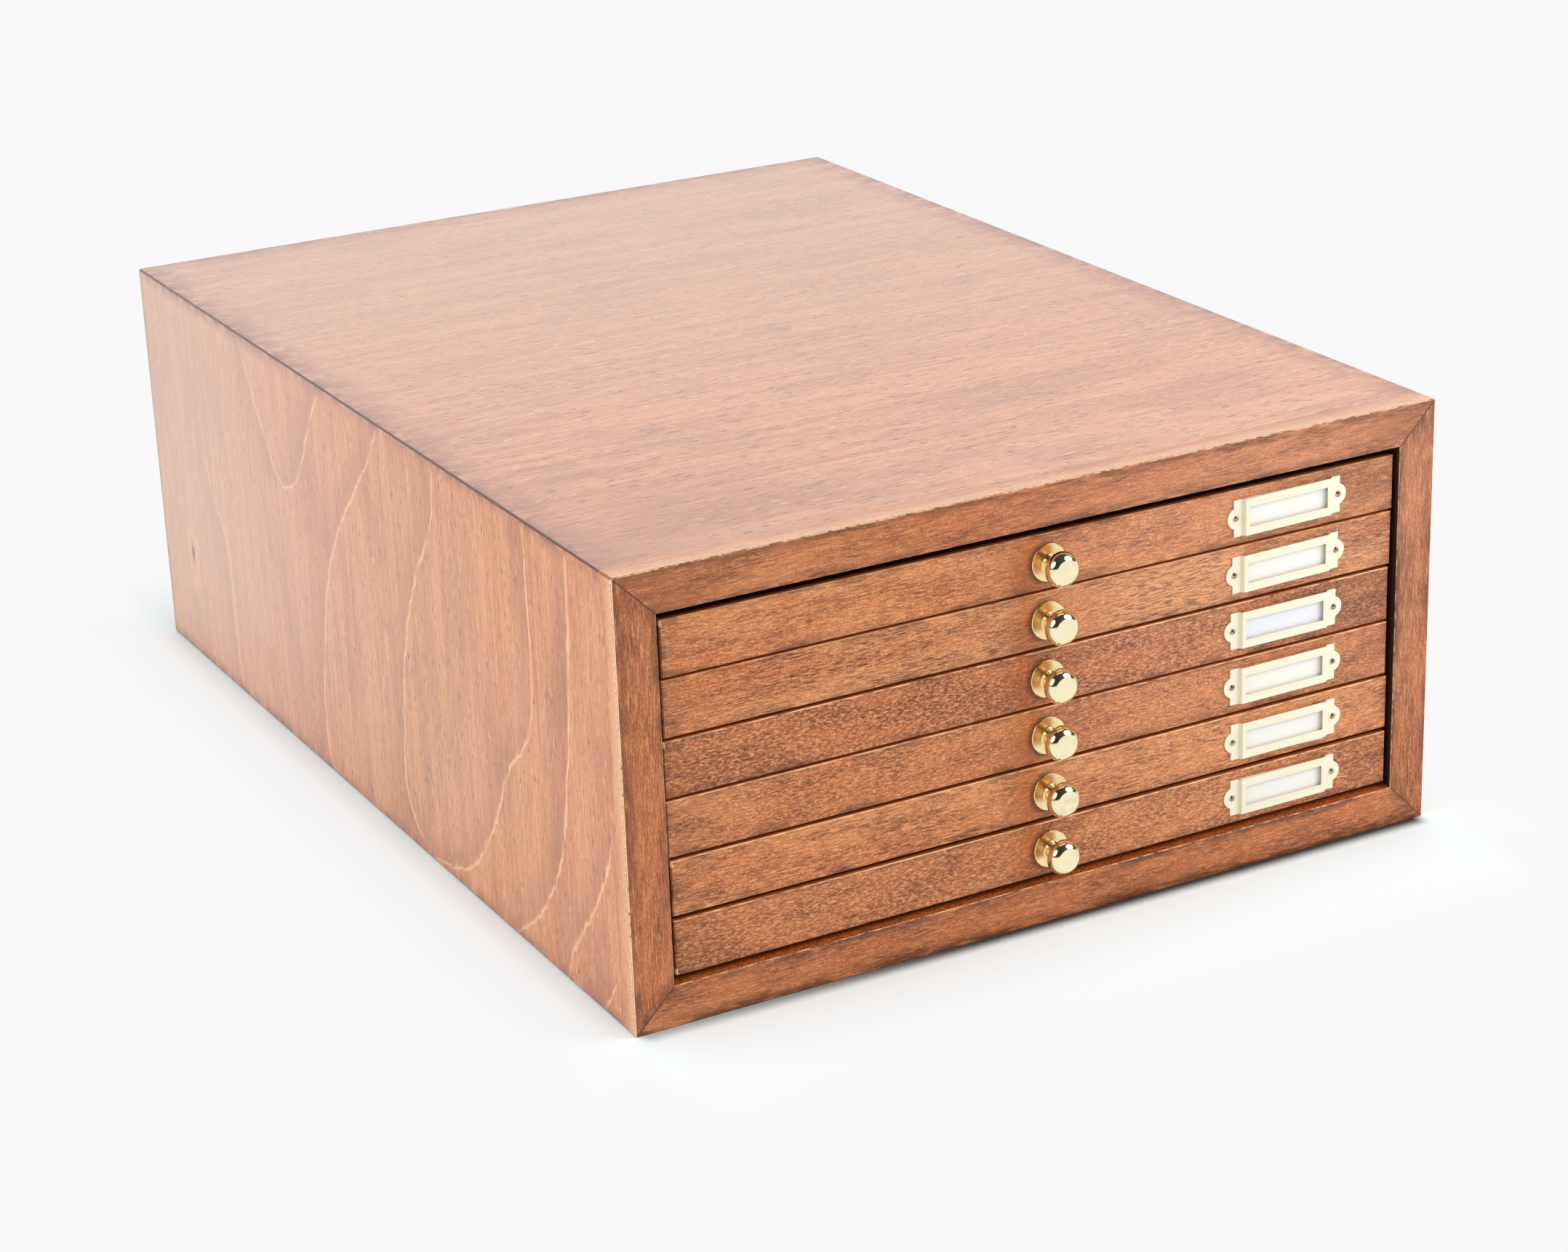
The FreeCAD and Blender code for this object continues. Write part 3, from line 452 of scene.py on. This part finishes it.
def veneer_finish(name, cut, settings):
    """Streaked veneer with pale growth lines, smoky patches and dark borders."""
    look = settings.wood
    material, paint = new_finish(name)
    x, y, z = paint.place()
    behind, rear = y - FRONT, BACK - y
    lying = cut is LYING
    spot = (x, y, z) if lying else (z, y, x)
    start = x + HALF_WIDTH if lying else z
    wander = paint.noise(spot, (9, 4, 9), 3.1) - 0.5
    pale, smoky = growth_lines(paint, start + wander * 2, behind + wander * 4, cut.lines, BACK - FRONT)
    pale = pale * paint.noise(spot, (14, 14, 14), 8.4).rise(0.25, 0.55)
    base, relief = veneer_tone(paint, look, spot, cut.strength)
    if lying:
        corner = start.fall(0, 150) * behind.fall(0, 140)
        smoky = (smoky * 0.45).most(corner * 1.4)
        side = HALF_WIDTH - abs(x)
        back_sheen = 0.1 + behind.rise(60, 500) * 0.25
        gloss = GLOSS
    else:
        side = z.least(HEIGHT - z)
        back_sheen = behind.rise(250, 500) * 0.35
        gloss = behind.rise(30, 330) * z.rise(-70, 100) * GLOSS + DULL_GLOSS
    base = paint.mix(smoky * 0.35, base, look.smoke)
    # Painted sheen: paler veneer towards the back, and a little all over the lying boards, in place of
    # the lacquer's reflection of the backdrop.
    base = paint.mix(back_sheen, base, look.faded)
    base = paint.mix(pale * cut.pale, base, look.line)
    halo, seam = border_stain(paint, cut, side, rear, spot)
    base = paint.mix(halo, base, look.smoke)
    base = paint.mix(seam, base, look.edge)
    base = paint.mix(rear.fall(0.1, 0.4) * 0.75, base, look.dark)
    if not lying:
        knot_behind, knot_height = SIDE_KNOT
        knot = (((behind - knot_behind) * 0.9) ** 2 + ((z - knot_height) * 0.35) ** 2) ** 0.5
        base = paint.mix(knot.rise(2, 4) * knot.fall(4, 9) * 0.5, base, look.line)
        base = paint.mix(knot.fall(0.6, 2.2) * 0.8, base, look.edge)
    paint.surface(
        base_color=base, roughness=look.roughness, coat_weight=gloss, coat_roughness=GLOSS_ROUGHNESS,
        normal=paint.bump(relief, WOOD_RELIEF))
    return material


def solid_wood(paint, look, spot, seed, grain, amount, golden, depth, clear=0.0, flecked=1.0):
    """Colour and relief of the mottled solid wood.

    grain is the size of a pale fleck and of a dark pore, along and across. amount is how strongly the
    pores show, golden how much of the ground is yellow, depth how deep the stain is, clear a mask of
    clearer wood, and flecked how strongly the flecks show.
    """
    fleck, dash = grain
    flecks = paint.noise(spot, (fleck[0], fleck[1], fleck[1]), seed, 3.0)
    pores = paint.noise(spot, (dash[0], dash[1], dash[1]), seed + 6.1, 2.0)
    fine = paint.noise(spot, (1.4, 0.4, 0.4), seed + 2.2, 2.0)
    gather = paint.noise(spot, (34, 9, 9), seed + 9.7, 3.0).rise(0.40, 0.64)
    broad = paint.noise(spot, (110, 24, 24), seed + 3.3, 3.0).rise(0.36, 0.64)
    pore = pores.rise(0.52, 0.58) * (0.5 + 0.5 * gather).most(clear)
    base = paint.mix(clear.most(broad * golden) if clear else broad * golden, look.ground, look.golden)
    base = paint.mix(gather * (1 - clear) * 0.26 + depth, base, look.dark)
    if clear:
        base = paint.mix(clear.rise(0.5, 0.9) * 0.2, base, look.light)
    base = paint.mix(flecks.rise(0.50, 0.62) * (0.55 * flecked), base, look.light)
    base = paint.mix(fine.rise(0.55, 0.62) * (0.6 * flecked), base, look.light)
    base = paint.mix(fine.fall(0.38, 0.44) * (0.35 * flecked), base, look.dark)
    base = paint.mix(pore * amount, base, look.dark)
    return base, flecks * 0.4 - pore


def hazed(paint, look, base, x, z):
    """Wood under lacquer that has gone a little hazy towards the top right of the front."""
    return paint.mix(x.rise(-80, 80) * z.rise(-20, 200) * 0.12, base, look.haze)


# How deeply each lipping is stained.
LIPPING_DEPTH = {"top": 0.13, "bottom": 0.17, "left": 0.15, "right": 0.28}


def lipping_finish(place, seed, settings):
    """Solid lipping with dark mitres, worn arrises with a painted highlight, stained borders, a painted
    sheen on its outer face and painted shade on its inner face.
    """
    look = settings.wood
    material, paint = new_finish(f"lipping_{place}")
    x, y, z = paint.place()
    lying = place in ("top", "bottom")
    spot = (x, z, y) if lying else (z, x, y)
    grain = ((5.0, 0.7), (6.0, 0.6)) if lying else ((9.0, 0.6), (12.0, 0.5))
    golden = 0.6 if lying else 0.1
    base, relief = solid_wood(
        paint, look, spot, seed, grain, 0.48, golden, LIPPING_DEPTH[place], flecked=0.6)
    base = hazed(paint, look, base, x, z)
    side = HALF_WIDTH - abs(x)
    edge = z.least(HEIGHT - z)
    outer = side.least(edge)
    inner = LIPPING_WIDTH - outer
    ahead = y - FRONT
    face = ahead.fall(0.4, 0.7)

    rough = paint.noise(spot, (14, 3, 3), seed + 1.9, 3.0)
    # The borders are darker, most along the bottom lipping.
    edge_darkness = 0.8 if place == "bottom" else 0.6
    stain = outer.least(inner * 1.4).fall(0.0, 7.0) * rough.rise(0.36, 0.60) * edge_darkness
    mitre = abs(side - edge) * math.sqrt(0.5)
    stain = stain.most(mitre.fall(0.15, 0.5) * 0.9)
    stain = stain.most(mitre.fall(0.0, 7.0) * rough.rise(0.3, 0.7) * 0.6)
    if place == "top":
        stain = stain.most(side.fall(8.0, 70.0) * rough.rise(0.2, 0.6) * 0.4)
    base = paint.mix(stain * face, base, look.edge)

    grit = paint.noise(spot, (1.2, 0.7, 0.7), seed + 3.6, 3.0).rise(0.42, 0.58)
    veneer, _ = veneer_tone(paint, look, (x, y, z) if lying else (z, y, x))
    # Painted sheen: the outer faces are painted paler close to the front edge, with grit.
    sandy = paint.mix(ahead.fall(1.0, 10.0) * (0.3 + 0.5 * grit), veneer, look.sandy)
    outside = outer.fall(0.05, 0.3) * (1 - face)
    base = paint.mix(outside, base, paint.mix(mitre.fall(0.3, 0.9) * 0.8, sandy, look.edge))
    # The worn band, partly a painted highlight, carried onto the outer faces close to the front.
    rubbed_and_lit = outside * ahead.fall(0.9, 2.0) * grit * (0.3 if lying else 0.9)
    # Painted shade on the inner faces, in the gaps; on the bottom lipping raw stain near the front goes
    # over into painted shade further back.
    inner_stain_and_shade = look.shade
    if place == "bottom":
        inner_stain_and_shade = paint.mix(ahead.rise(3.0, 14.0).most(grit * 0.65), look.bare, look.shade)
    base = paint.mix(inner.fall(0.05, 0.3) * (1 - face), base, inner_stain_and_shade)

    # Worn arrises and lip, partly a painted highlight.
    broken = paint.noise(spot, (2.5, 1, 1), seed + 4.4, 3.0)
    arris = ahead.most(outer).fall(0.30, 0.50)
    arris = arris * (broken.rise(0.40, 0.56) * 0.7 if lying else broken.rise(0.28, 0.44))
    lip = ahead.most(inner).fall(0.30, 0.45) * broken.rise(0.42, 0.60)
    base = paint.mix(arris.most(rubbed_and_lit).most(lip * 0.65), base, look.worn)
    paint.surface(
        base_color=base, roughness=look.roughness, specular_ior_level=STAIN_SPECULAR,
        coat_weight=outside * (GLOSS if lying else DULL_GLOSS), coat_roughness=GLOSS_ROUGHNESS,
        normal=paint.bump(relief, WOOD_RELIEF))
    return material


class FrontWood(NamedTuple):
    """The wood of one drawer front.

    fleck and pore are sizes in millimetres, along and across the grain. pores is how strongly the pores
    show, golden how much of the ground is yellow, depth how deep the stain is, clearer how much clearer
    the wood is between knob and label, wear how strongly the worn top edge and its painted highlight
    show, dark_end how dark the right end is, and chip how far below the top edge a pale chip lies at the
    left end.
    """

    fleck: tuple
    pore: tuple
    pores: float
    golden: float
    depth: float
    clearer: float
    wear: float
    dark_end: float = 0.0
    chip: float = 0.0


FRONT_WOOD = {
    1: FrontWood((4.5, 0.7), (5.0, 0.6), pores=0.48, golden=0.8, depth=0.00, clearer=0.1, wear=0.7,
                 dark_end=0.36, chip=1.4),
    2: FrontWood((6.0, 0.55), (6.0, 0.42), pores=0.80, golden=1.0, depth=0.02, clearer=0.9, wear=0.5),
    3: FrontWood((2.2, 0.8), (2.4, 0.8), pores=0.60, golden=0.1, depth=0.20, clearer=0.0, wear=1.0,
                 dark_end=0.40, chip=1.2),
    4: FrontWood((3.6, 0.7), (3.6, 0.7), pores=0.54, golden=0.5, depth=0.09, clearer=0.3, wear=0.9,
                 dark_end=0.26),
    5: FrontWood((4.6, 0.7), (4.6, 0.6), pores=0.60, golden=0.9, depth=0.00, clearer=0.4, wear=1.0,
                 chip=1.4),
    6: FrontWood((2.4, 0.7), (2.4, 0.7), pores=0.50, golden=0.4, depth=0.22, clearer=0.5, wear=1.0,
                 chip=21.8),
}


def front_finish(number, settings):
    """Solid drawer front with stained borders, a worn top arris with a painted highlight, and a painted
    shadow and painted warm reflection round the knob.
    """
    look = settings.wood
    wood = FRONT_WOOD[number]
    material, paint = new_finish(f"drawer_front_{number}")
    low, high = (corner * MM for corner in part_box(f"drawer_{number}_front"))
    knob = sum(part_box(f"drawer_{number}_knob"), Vector()) * (MM / 2)
    x, y, z = paint.place()
    spot = (x, z, y)
    behind, below, above = y - low.y, high.z - z, z - low.z
    clear = x.rise(0, 40) * x.fall(80, 130) * wood.clearer
    grain = (wood.fleck, wood.pore)
    base, relief = solid_wood(
        paint, look, spot, 11.3 * number, grain, wood.pores, wood.golden, wood.depth, clear)
    base = hazed(paint, look, base, x, z)

    rough = paint.noise(spot, (12, 4, 4), 5.1 * number, 3.0)
    ends = (x - low.x).least(high.x - x)
    stain = ends.least(above * 1.3).least(below * 2.2).fall(0.0, 7.0) * rough.rise(0.40, 0.66) * 0.6
    stain = stain.most(ends.fall(0.0, 35.0) * rough.rise(0.35, 0.65) * 0.3)
    if wood.dark_end:
        stain = stain.most((high.x - x).fall(15, 80) * rough.rise(0.2, 0.6) * wood.dark_end)
    # Painted shadow of the knob: a dark halo at the left of its foot, and beyond it a painted warm
    # reflection of the brass.
    left, up = knob.x - x, z - knob.z
    from_knob = (left * left + up * up) ** 0.5
    stain = stain.most(from_knob.fall(8.0, 11.5) * left.rise(-6, 4) * 0.7)
    base = paint.mix(from_knob.fall(10, 26) * left.rise(0, 9) * 0.45, base, look.bare)
    base = paint.mix(stain, base, look.edge)

    # Faces in the gaps between the parts: raw stain near the front, going over into painted shade
    # further in.
    hidden = below.least(ends).least(above).fall(0.02, 0.1) * behind.rise(0.55, 0.7)
    base = paint.mix(hidden, base, paint.mix(behind.rise(1.2, 4.0), look.bare, look.shade))
    # Worn top arris, partly a painted highlight, and a pale chip at the left end.
    broken = paint.noise(spot, (6, 1, 1), 3.7 * number, 3.0).rise(0.30, 0.60)
    arris = behind.most(below).fall(0.30, 0.55) * broken * (0.85 * wood.wear)
    if wood.chip:
        chip = (x - low.x).most(abs(below - wood.chip) * 0.7).fall(0.5, 1.1)
        arris = arris.most(chip)
    base = paint.mix(arris, base, look.worn)
    paint.surface(
        base_color=base, roughness=look.roughness, specular_ior_level=STAIN_SPECULAR,
        normal=paint.bump(relief, WOOD_RELIEF))
    return material


# How far the foot and neck of a knob reach from the drawer's face, in millimetres.
KNOB_NECK = 8.8
# How dull each knob has become.
KNOB_TARNISH = {1: 0.10, 2: 0.10, 3: 0.15, 4: 0.20, 5: 0.60, 6: 0.35}


def brass_finish(number, settings):
    """Turned brass: a polished head on a neck and foot that show the marks of the lathe."""
    look = settings.metal
    material, paint = new_finish(f"brass_{number}")
    place = paint.place()
    low, high = (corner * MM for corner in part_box(f"drawer_{number}_knob"))
    brushed = (high.y - place[1]).fall(KNOB_NECK - 0.4, KNOB_NECK + 0.4)
    dull = paint.noise(place, (5, 5, 5), 2.0 * number, 3.0).rise(0.40, 0.80) * KNOB_TARNISH[number]
    base = paint.mix(dull, paint.mix(brushed, look.brass, look.satin), look.tarnish)
    axis = (low.x + high.x) / 2, (low.z + high.z) / 2
    paint.surface(
        base_color=base, metallic=1.0, roughness=look.polish + look.brushed * brushed + 0.12 * dull,
        normal=paint.turned(place, axis, 0.1 + 1.5 * brushed))
    return material


def pin_finish(settings):
    """Plated pins, dull where they meet the lacquer."""
    look = settings.metal
    material, paint = new_finish("plated_pin")
    dull = paint.noise(paint.place(), (0.9, 0.9, 0.9), 1.0, 3.0).rise(0.35, 0.7)
    paint.surface(
        base_color=paint.mix(dull, look.pin, look.pin_dark), metallic=1.0, roughness=0.16 + 0.14 * dull)
    return material


def steel_finish(settings):
    """Zinc-plated screws."""
    look = settings.metal
    material, paint = new_finish("plated_steel")
    dull = paint.noise(paint.place(), (1.2, 1.2, 1.2), 4.0, 3.0)
    paint.surface(
        base_color=paint.mix(dull, look.steel, look.pin), metallic=1.0, roughness=0.3 + 0.2 * dull)
    return material


# Length and height of the opening in a label holder, in millimetres.
WINDOW = (39.6, 8.9)


def lacquer_finish(number, settings):
    """Cream lacquer on pressed sheet, yellower on its edges and along the step round its window, with
    painted shade on faces that turn away from the front.
    """
    look = settings.label
    material, paint = new_finish(f"cream_lacquer_{number}")
    low, high = (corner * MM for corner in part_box(f"drawer_{number}_label_holder"))
    middle = (low + high) / 2
    spot = paint.place()
    rail = (abs(spot[0] - middle.x) - WINDOW[0] / 2).most(abs(spot[2] - middle.z) - WINDOW[1] / 2)
    step = abs(rail - 1.0).fall(0.08, 0.32) * 0.55
    facing = paint.split(paint.node("ShaderNodeNewGeometry", output="Normal"))[1]
    turned = 1 - abs(facing)
    cloud = paint.noise(spot, (5, 5, 5), 7.0, 3.0)
    peel = paint.noise(spot, (0.9, 0.9, 0.9), 1.0)
    # Faces that turn away from the front are painted yellower, and the steepest darker: partly worn,
    # yellowed lacquer and partly painted shade.
    slope = (turned.rise(0.1, 0.4) * 0.5).most(step)
    base = paint.mix(slope.most(cloud.rise(0.5, 0.9) * 0.25), look.cream, look.yellowed)
    chip = paint.noise(spot, (0.9, 0.9, 0.9), 12.0, 3.0).rise(0.72, 0.78)
    base = paint.mix((chip * 0.6).most(turned.rise(0.6, 0.9) * 0.3), base, look.bared)
    paint.surface(base_color=base, roughness=0.36 + 0.1 * cloud, normal=paint.bump(peel, 0.012))
    return material


def card_finish(name, tone):
    """Matt card with faint fibres."""
    material, paint = new_finish(name)
    spot = paint.place()
    fibre = paint.noise(spot, (0.5, 0.5, 0.25), 3.0, 3.0)
    shade = tuple(0.93 * channel for channel in tone)
    paint.surface(
        base_color=paint.mix(fibre, shade, tone), roughness=0.85, normal=paint.bump(fibre, 0.01))
    return material


# Roughness of bare wood and of the waxed runners.
BARE = 0.6
WAXED = 0.5


def plain_wood_finish(name, light, dark, grain, roughness=BARE):
    """Unstained wood of the hidden parts, with straight grain along X or Y."""
    material, paint = new_finish(name)
    x, y, z = paint.place()
    spot = {"X": (x, y, z), "Y": (y, z, x)}[grain]
    streak = paint.noise(spot, (90, 1.6, 1.6), 2.7, 3.0)
    broad = paint.noise(spot, (60, 12, 12), 5.2)
    pore = paint.noise(spot, (5, 0.3, 0.3), 8.8).rise(0.6, 0.75)
    base = paint.mix((streak * 0.6 + broad * 0.4).rise(0.35, 0.7), light, dark)
    base = paint.mix(pore * 0.45, base, dark)
    paint.surface(
        base_color=base, roughness=roughness + 0.1 * pore, normal=paint.bump(streak - pore, 0.03))
    return material


def felt_finish(settings):
    """Wool felt with loose fibres."""
    look = settings.tray
    material, paint = new_finish("felt")
    spot = paint.place()
    fibre = paint.noise(spot, (0.35, 0.35, 0.35), 1.0, 4.0)
    cloud = paint.noise(spot, (9, 9, 9), 4.0, 3.0)
    base = paint.mix(fibre.rise(0.45, 0.75) * 0.6 + cloud * 0.15, look.felt, look.felt_light)
    paint.surface(
        base_color=base, roughness=0.95, sheen_weight=0.15, sheen_roughness=0.5,
        normal=paint.bump(fibre, 0.15))
    return material


def make_floor(look):
    """A wide pale floor that goes over into the white background a little way from the cabinet."""
    reach = 4.0
    corners = [(-reach, -reach, 0), (reach, -reach, 0), (reach, reach, 0), (-reach, reach, 0)]
    mesh = bpy.data.meshes.new("floor")
    mesh.from_pydata(corners, [], [range(4)])
    floor = bpy.data.objects.new("floor", mesh)
    bpy.context.scene.collection.objects.link(floor)
    material, paint = new_finish("floor")
    x, y, _ = paint.place()
    aside, ahead = abs(x) - HALF_WIDTH, FRONT - y
    # Distance from the case, over which the floor turns white, sooner at the sides than in front.
    away = aside.most(abs(y) + FRONT) + aside.rise(-5, 15) * 42
    # A painted shadow line on the floor close under the front edge, darker towards the right.
    contact = ahead.rise(-2, 0) * ahead.fall(0.5, 9.0) * aside.fall(-6, 1)
    tone = paint.mix(contact * (0.5 + 0.46 * x.rise(-190, -20)), look.floor, look.contact)
    # Painted shade: the floor is a little darker towards the right, where the key light falls.
    tone = paint.mix(x.rise(0, 220) * 0.09, tone, BLACK)
    matt = paint.node("ShaderNodeBsdfDiffuse", {}, {"Color": tone})
    white = paint.node("ShaderNodeEmission", {}, {"Color": WHITE, "Strength": FLOOR_WHITE})
    camera, mirrored = seen(paint)
    blended = paint.node(
        "ShaderNodeMixShader", {}, {0: away.rise(0, 95) * camera.most(mirrored), 1: matt, 2: white})
    paint.node("ShaderNodeOutputMaterial", {}, {"Surface": blended})
    mesh.materials.append(material)


def seen(paint):
    """1 for what the camera sees by itself, and 1 for what it sees in a reflection or through glass."""
    light_path = paint.node("ShaderNodeLightPath").socket.node.outputs
    camera, glossy, through = (Value(paint, light_path[name]) for name in (
        "Is Camera Ray", "Is Glossy Ray", "Is Transmission Ray"))
    return camera, glossy.most(through)


def make_world(look):
    """A white background, a dim studio with a white backdrop in reflections, and light from above."""
    world = bpy.data.worlds.new("studio")
    bpy.context.scene.world = world
    paint = Paint(world)
    x, y, z = paint.split(paint.node("ShaderNodeTexCoord", output="Generated"))
    backdrop = y.rise(-0.15, 0.25) * z.fall(0.45, 0.95)
    # Two small windows high up at the right and at the left, for the highlights on the knobs.
    right_window = (0.62 * x - 0.46 * y + 0.64 * z).rise(0.92, 0.96)
    left_window = (0.52 * z - 0.84 * x - 0.17 * y).rise(0.93, 0.96)
    dim = look.studio + 0.05 * x.rise(-0.5, 0.8)
    room = dim.most(backdrop).most(z.fall(-0.02, 0.18)).most(right_window.most(left_window) * 2)
    even = look.ambient + look.overhead * z.most(0.0)
    camera, mirrored = seen(paint)
    strength = camera * BACKGROUND_WHITE + mirrored * room + (1 - camera.most(mirrored)) * even
    background = paint.node("ShaderNodeBackground", {}, {"Color": WHITE, "Strength": strength})
    paint.node("ShaderNodeOutputWorld", {}, {"Surface": background})


def make_softbox(name, watts, place, side):
    """A square softbox that faces the cabinet and leaves no glare on its lacquer."""
    lamp = bpy.data.lights.new(name, "AREA")
    lamp.shape = "SQUARE"
    lamp.size = side
    lamp.energy = watts
    softbox = bpy.data.objects.new(name, lamp)
    bpy.context.scene.collection.objects.link(softbox)
    softbox.location = place
    softbox.visible_glossy = False
    middle = Vector((0.0, 0.0, HEIGHT / MM / 2))
    softbox.rotation_euler = (middle - Vector(place)).to_track_quat("-Z", "Y").to_euler()


def make_camera(look):
    """The camera, turned to the right, tilted down and leaned a little."""
    lens = bpy.data.cameras.new("camera")
    lens.lens = look.lens
    lens.sensor_width = 36.0
    camera = bpy.data.objects.new("camera", lens)
    bpy.context.scene.collection.objects.link(camera)
    turn = Matrix.Rotation(-look.heading, 4, "Z")
    level = Matrix.Rotation(math.pi / 2 - look.tilt, 4, "X")
    lean = Matrix.Rotation(-look.roll, 4, "Z")
    camera.matrix_world = Matrix.Translation(look.eye) @ turn @ level @ lean
    bpy.context.scene.camera = camera


class CABINET_OT_case_boards(bpy.types.Operator):
    """Veneers the top, the bottom and the two sides of the case"""

    bl_idname = "cabinet.case_boards"
    bl_label = "Case boards"
    bl_options = {"REGISTER", "UNDO"}

    def execute(self, context):
        settings = context.scene.cabinet
        lying = veneer_finish("veneer_top", LYING, settings)
        standing = veneer_finish("veneer_side", STANDING, settings)
        for node in ("top_panel", "bottom_panel"):
            finish_node(node, lying)
        for node in ("left_side", "right_side"):
            finish_node(node, standing)
        return {"FINISHED"}


class CABINET_OT_lippings(bpy.types.Operator):
    """Stains the four lippings round the open front"""

    bl_idname = "cabinet.lippings"
    bl_label = "Lippings"
    bl_options = {"REGISTER", "UNDO"}

    def execute(self, context):
        settings = context.scene.cabinet
        for seed, place in enumerate(LIPPING_DEPTH):
            finish_node(f"{place}_lipping", lipping_finish(place, 7.9 * seed, settings))
        return {"FINISHED"}


class CABINET_OT_case_fittings(bpy.types.Operator):
    """Finishes the back, its screws, the splines and the drawer runners"""

    bl_idname = "cabinet.case_fittings"
    bl_label = "Back and runners"
    bl_options = {"REGISTER", "UNDO"}

    def execute(self, context):
        settings = context.scene.cabinet
        look = settings.tray
        back = plain_wood_finish("plywood_back", look.plywood, look.tray_dark, "X")
        spline = plain_wood_finish("spline_wood", look.tray, look.tray_dark, "Y")
        runner = plain_wood_finish("runner_wood", look.tray, look.tray_dark, "Y", WAXED)
        finish_node("back_panel", back)
        finish_node("back_screws", steel_finish(settings))
        finish_node("mitre_splines", spline)
        finish_node("drawer_runners", runner)
        return {"FINISHED"}


class CABINET_OT_drawer_fronts(bpy.types.Operator):
    """Stains the six drawer fronts, each from its own piece of wood"""

    bl_idname = "cabinet.drawer_fronts"
    bl_label = "Drawer fronts"
    bl_options = {"REGISTER", "UNDO"}

    def execute(self, context):
        settings = context.scene.cabinet
        for number in DRAWERS:
            finish_node(f"drawer_{number}_front", front_finish(number, settings))
        return {"FINISHED"}


class CABINET_OT_trays(bpy.types.Operator):
    """Finishes the trays behind the fronts, with their bases and felt-faced coin boards"""

    bl_idname = "cabinet.trays"
    bl_label = "Trays"
    bl_options = {"REGISTER", "UNDO"}

    def execute(self, context):
        settings = context.scene.cabinet
        look = settings.tray
        frame_wood = plain_wood_finish("tray_wood", look.tray, look.tray_dark, "Y")
        base_wood = plain_wood_finish("plywood_base", look.plywood, look.tray_dark, "X")
        felt = felt_finish(settings)
        for number in DRAWERS:
            finish_node(f"drawer_{number}_tray_frame", frame_wood)
            finish_node(f"drawer_{number}_base", base_wood)
            finish_node(f"drawer_{number}_coin_board", felt)
        return {"FINISHED"}


class CABINET_OT_knobs(bpy.types.Operator):
    """Polishes the six turned brass knobs"""

    bl_idname = "cabinet.knobs"
    bl_label = "Knobs"
    bl_options = {"REGISTER", "UNDO"}

    def execute(self, context):
        settings = context.scene.cabinet
        for number in DRAWERS:
            finish_node(f"drawer_{number}_knob", brass_finish(number, settings))
        return {"FINISHED"}


class CABINET_OT_labels(bpy.types.Operator):
    """Finishes the label holders, their blank cards and their pins"""

    bl_idname = "cabinet.labels"
    bl_label = "Labels"
    bl_options = {"REGISTER", "UNDO"}

    def execute(self, context):
        settings = context.scene.cabinet
        look = settings.label
        warm = card_finish("card_warm", look.card)
        cool = card_finish("card_cool", look.cool_card)
        pins = pin_finish(settings)
        for number in DRAWERS:
            finish_node(f"drawer_{number}_label_holder", lacquer_finish(number, settings))
            finish_node(f"drawer_{number}_label_card", cool if number == NEWER_CARD_DRAWER else warm)
            finish_node(f"drawer_{number}_fixings", pins)
        return {"FINISHED"}


class CABINET_OT_stage(bpy.types.Operator):
    """Sets up the pale floor, the soft light and the camera"""

    bl_idname = "cabinet.stage"
    bl_label = "Stage"
    bl_options = {"REGISTER", "UNDO"}

    def execute(self, context):
        look = context.scene.cabinet.stage
        make_floor(look)
        make_world(look)
        make_softbox("key_softbox", look.key, look.key_place, look.key_side)
        make_softbox("fill_softbox", look.fill, look.fill_place, look.fill_side)
        make_camera(look)
        context.scene.view_settings.view_transform = "Standard"
        return {"FINISHED"}


class CabinetSettings(bpy.types.PropertyGroup):
    """All that a user of the cabinet may change."""

    wood: bpy.props.PointerProperty(type=CabinetWood, name="Wood", description="Stained wood")
    metal: bpy.props.PointerProperty(type=CabinetMetal, name="Metal", description="Brass and steel")
    label: bpy.props.PointerProperty(type=CabinetLabel, name="Labels", description="Holders and cards")
    tray: bpy.props.PointerProperty(type=CabinetTray, name="Trays", description="Hidden wood and felt")
    stage: bpy.props.PointerProperty(type=CabinetStage, name="Stage", description="Floor and lights")


OPERATORS = (
    CABINET_OT_case_boards, CABINET_OT_lippings, CABINET_OT_case_fittings, CABINET_OT_drawer_fronts,
    CABINET_OT_trays, CABINET_OT_knobs, CABINET_OT_labels, CABINET_OT_stage,
)


class CABINET_PT_sidebar(bpy.types.Panel):
    """Lists the cabinet's operators and settings"""

    bl_idname = "CABINET_PT_sidebar"
    bl_label = "Coin Cabinet"
    bl_space_type = "VIEW_3D"
    bl_region_type = "UI"
    bl_category = "Cabinet"

    def draw(self, context):
        for operator in OPERATORS:
            self.layout.operator(operator.bl_idname)
        settings = context.scene.cabinet
        for part in CabinetSettings.__annotations__:
            group = getattr(settings, part)
            box = self.layout.box()
            box.label(text=settings.bl_rna.properties[part].name)
            for name in type(group).__annotations__:
                box.prop(group, name)


CLASSES = (
    CabinetWood, CabinetMetal, CabinetLabel, CabinetTray, CabinetStage, CabinetSettings,
    *OPERATORS, CABINET_PT_sidebar,
)


def register():
    for cls in CLASSES:
        bpy.utils.register_class(cls)
    bpy.types.Scene.cabinet = bpy.props.PointerProperty(type=CabinetSettings)


def unregister():
    del bpy.types.Scene.cabinet
    for cls in reversed(CLASSES):
        bpy.utils.unregister_class(cls)


def main():
    register()
    bpy.ops.cabinet.case_boards()
    bpy.ops.cabinet.lippings()
    bpy.ops.cabinet.case_fittings()
    bpy.ops.cabinet.drawer_fronts()
    bpy.ops.cabinet.trays()
    bpy.ops.cabinet.knobs()
    bpy.ops.cabinet.labels()
    bpy.ops.cabinet.stage()


if __name__ == "__main__":
    main()
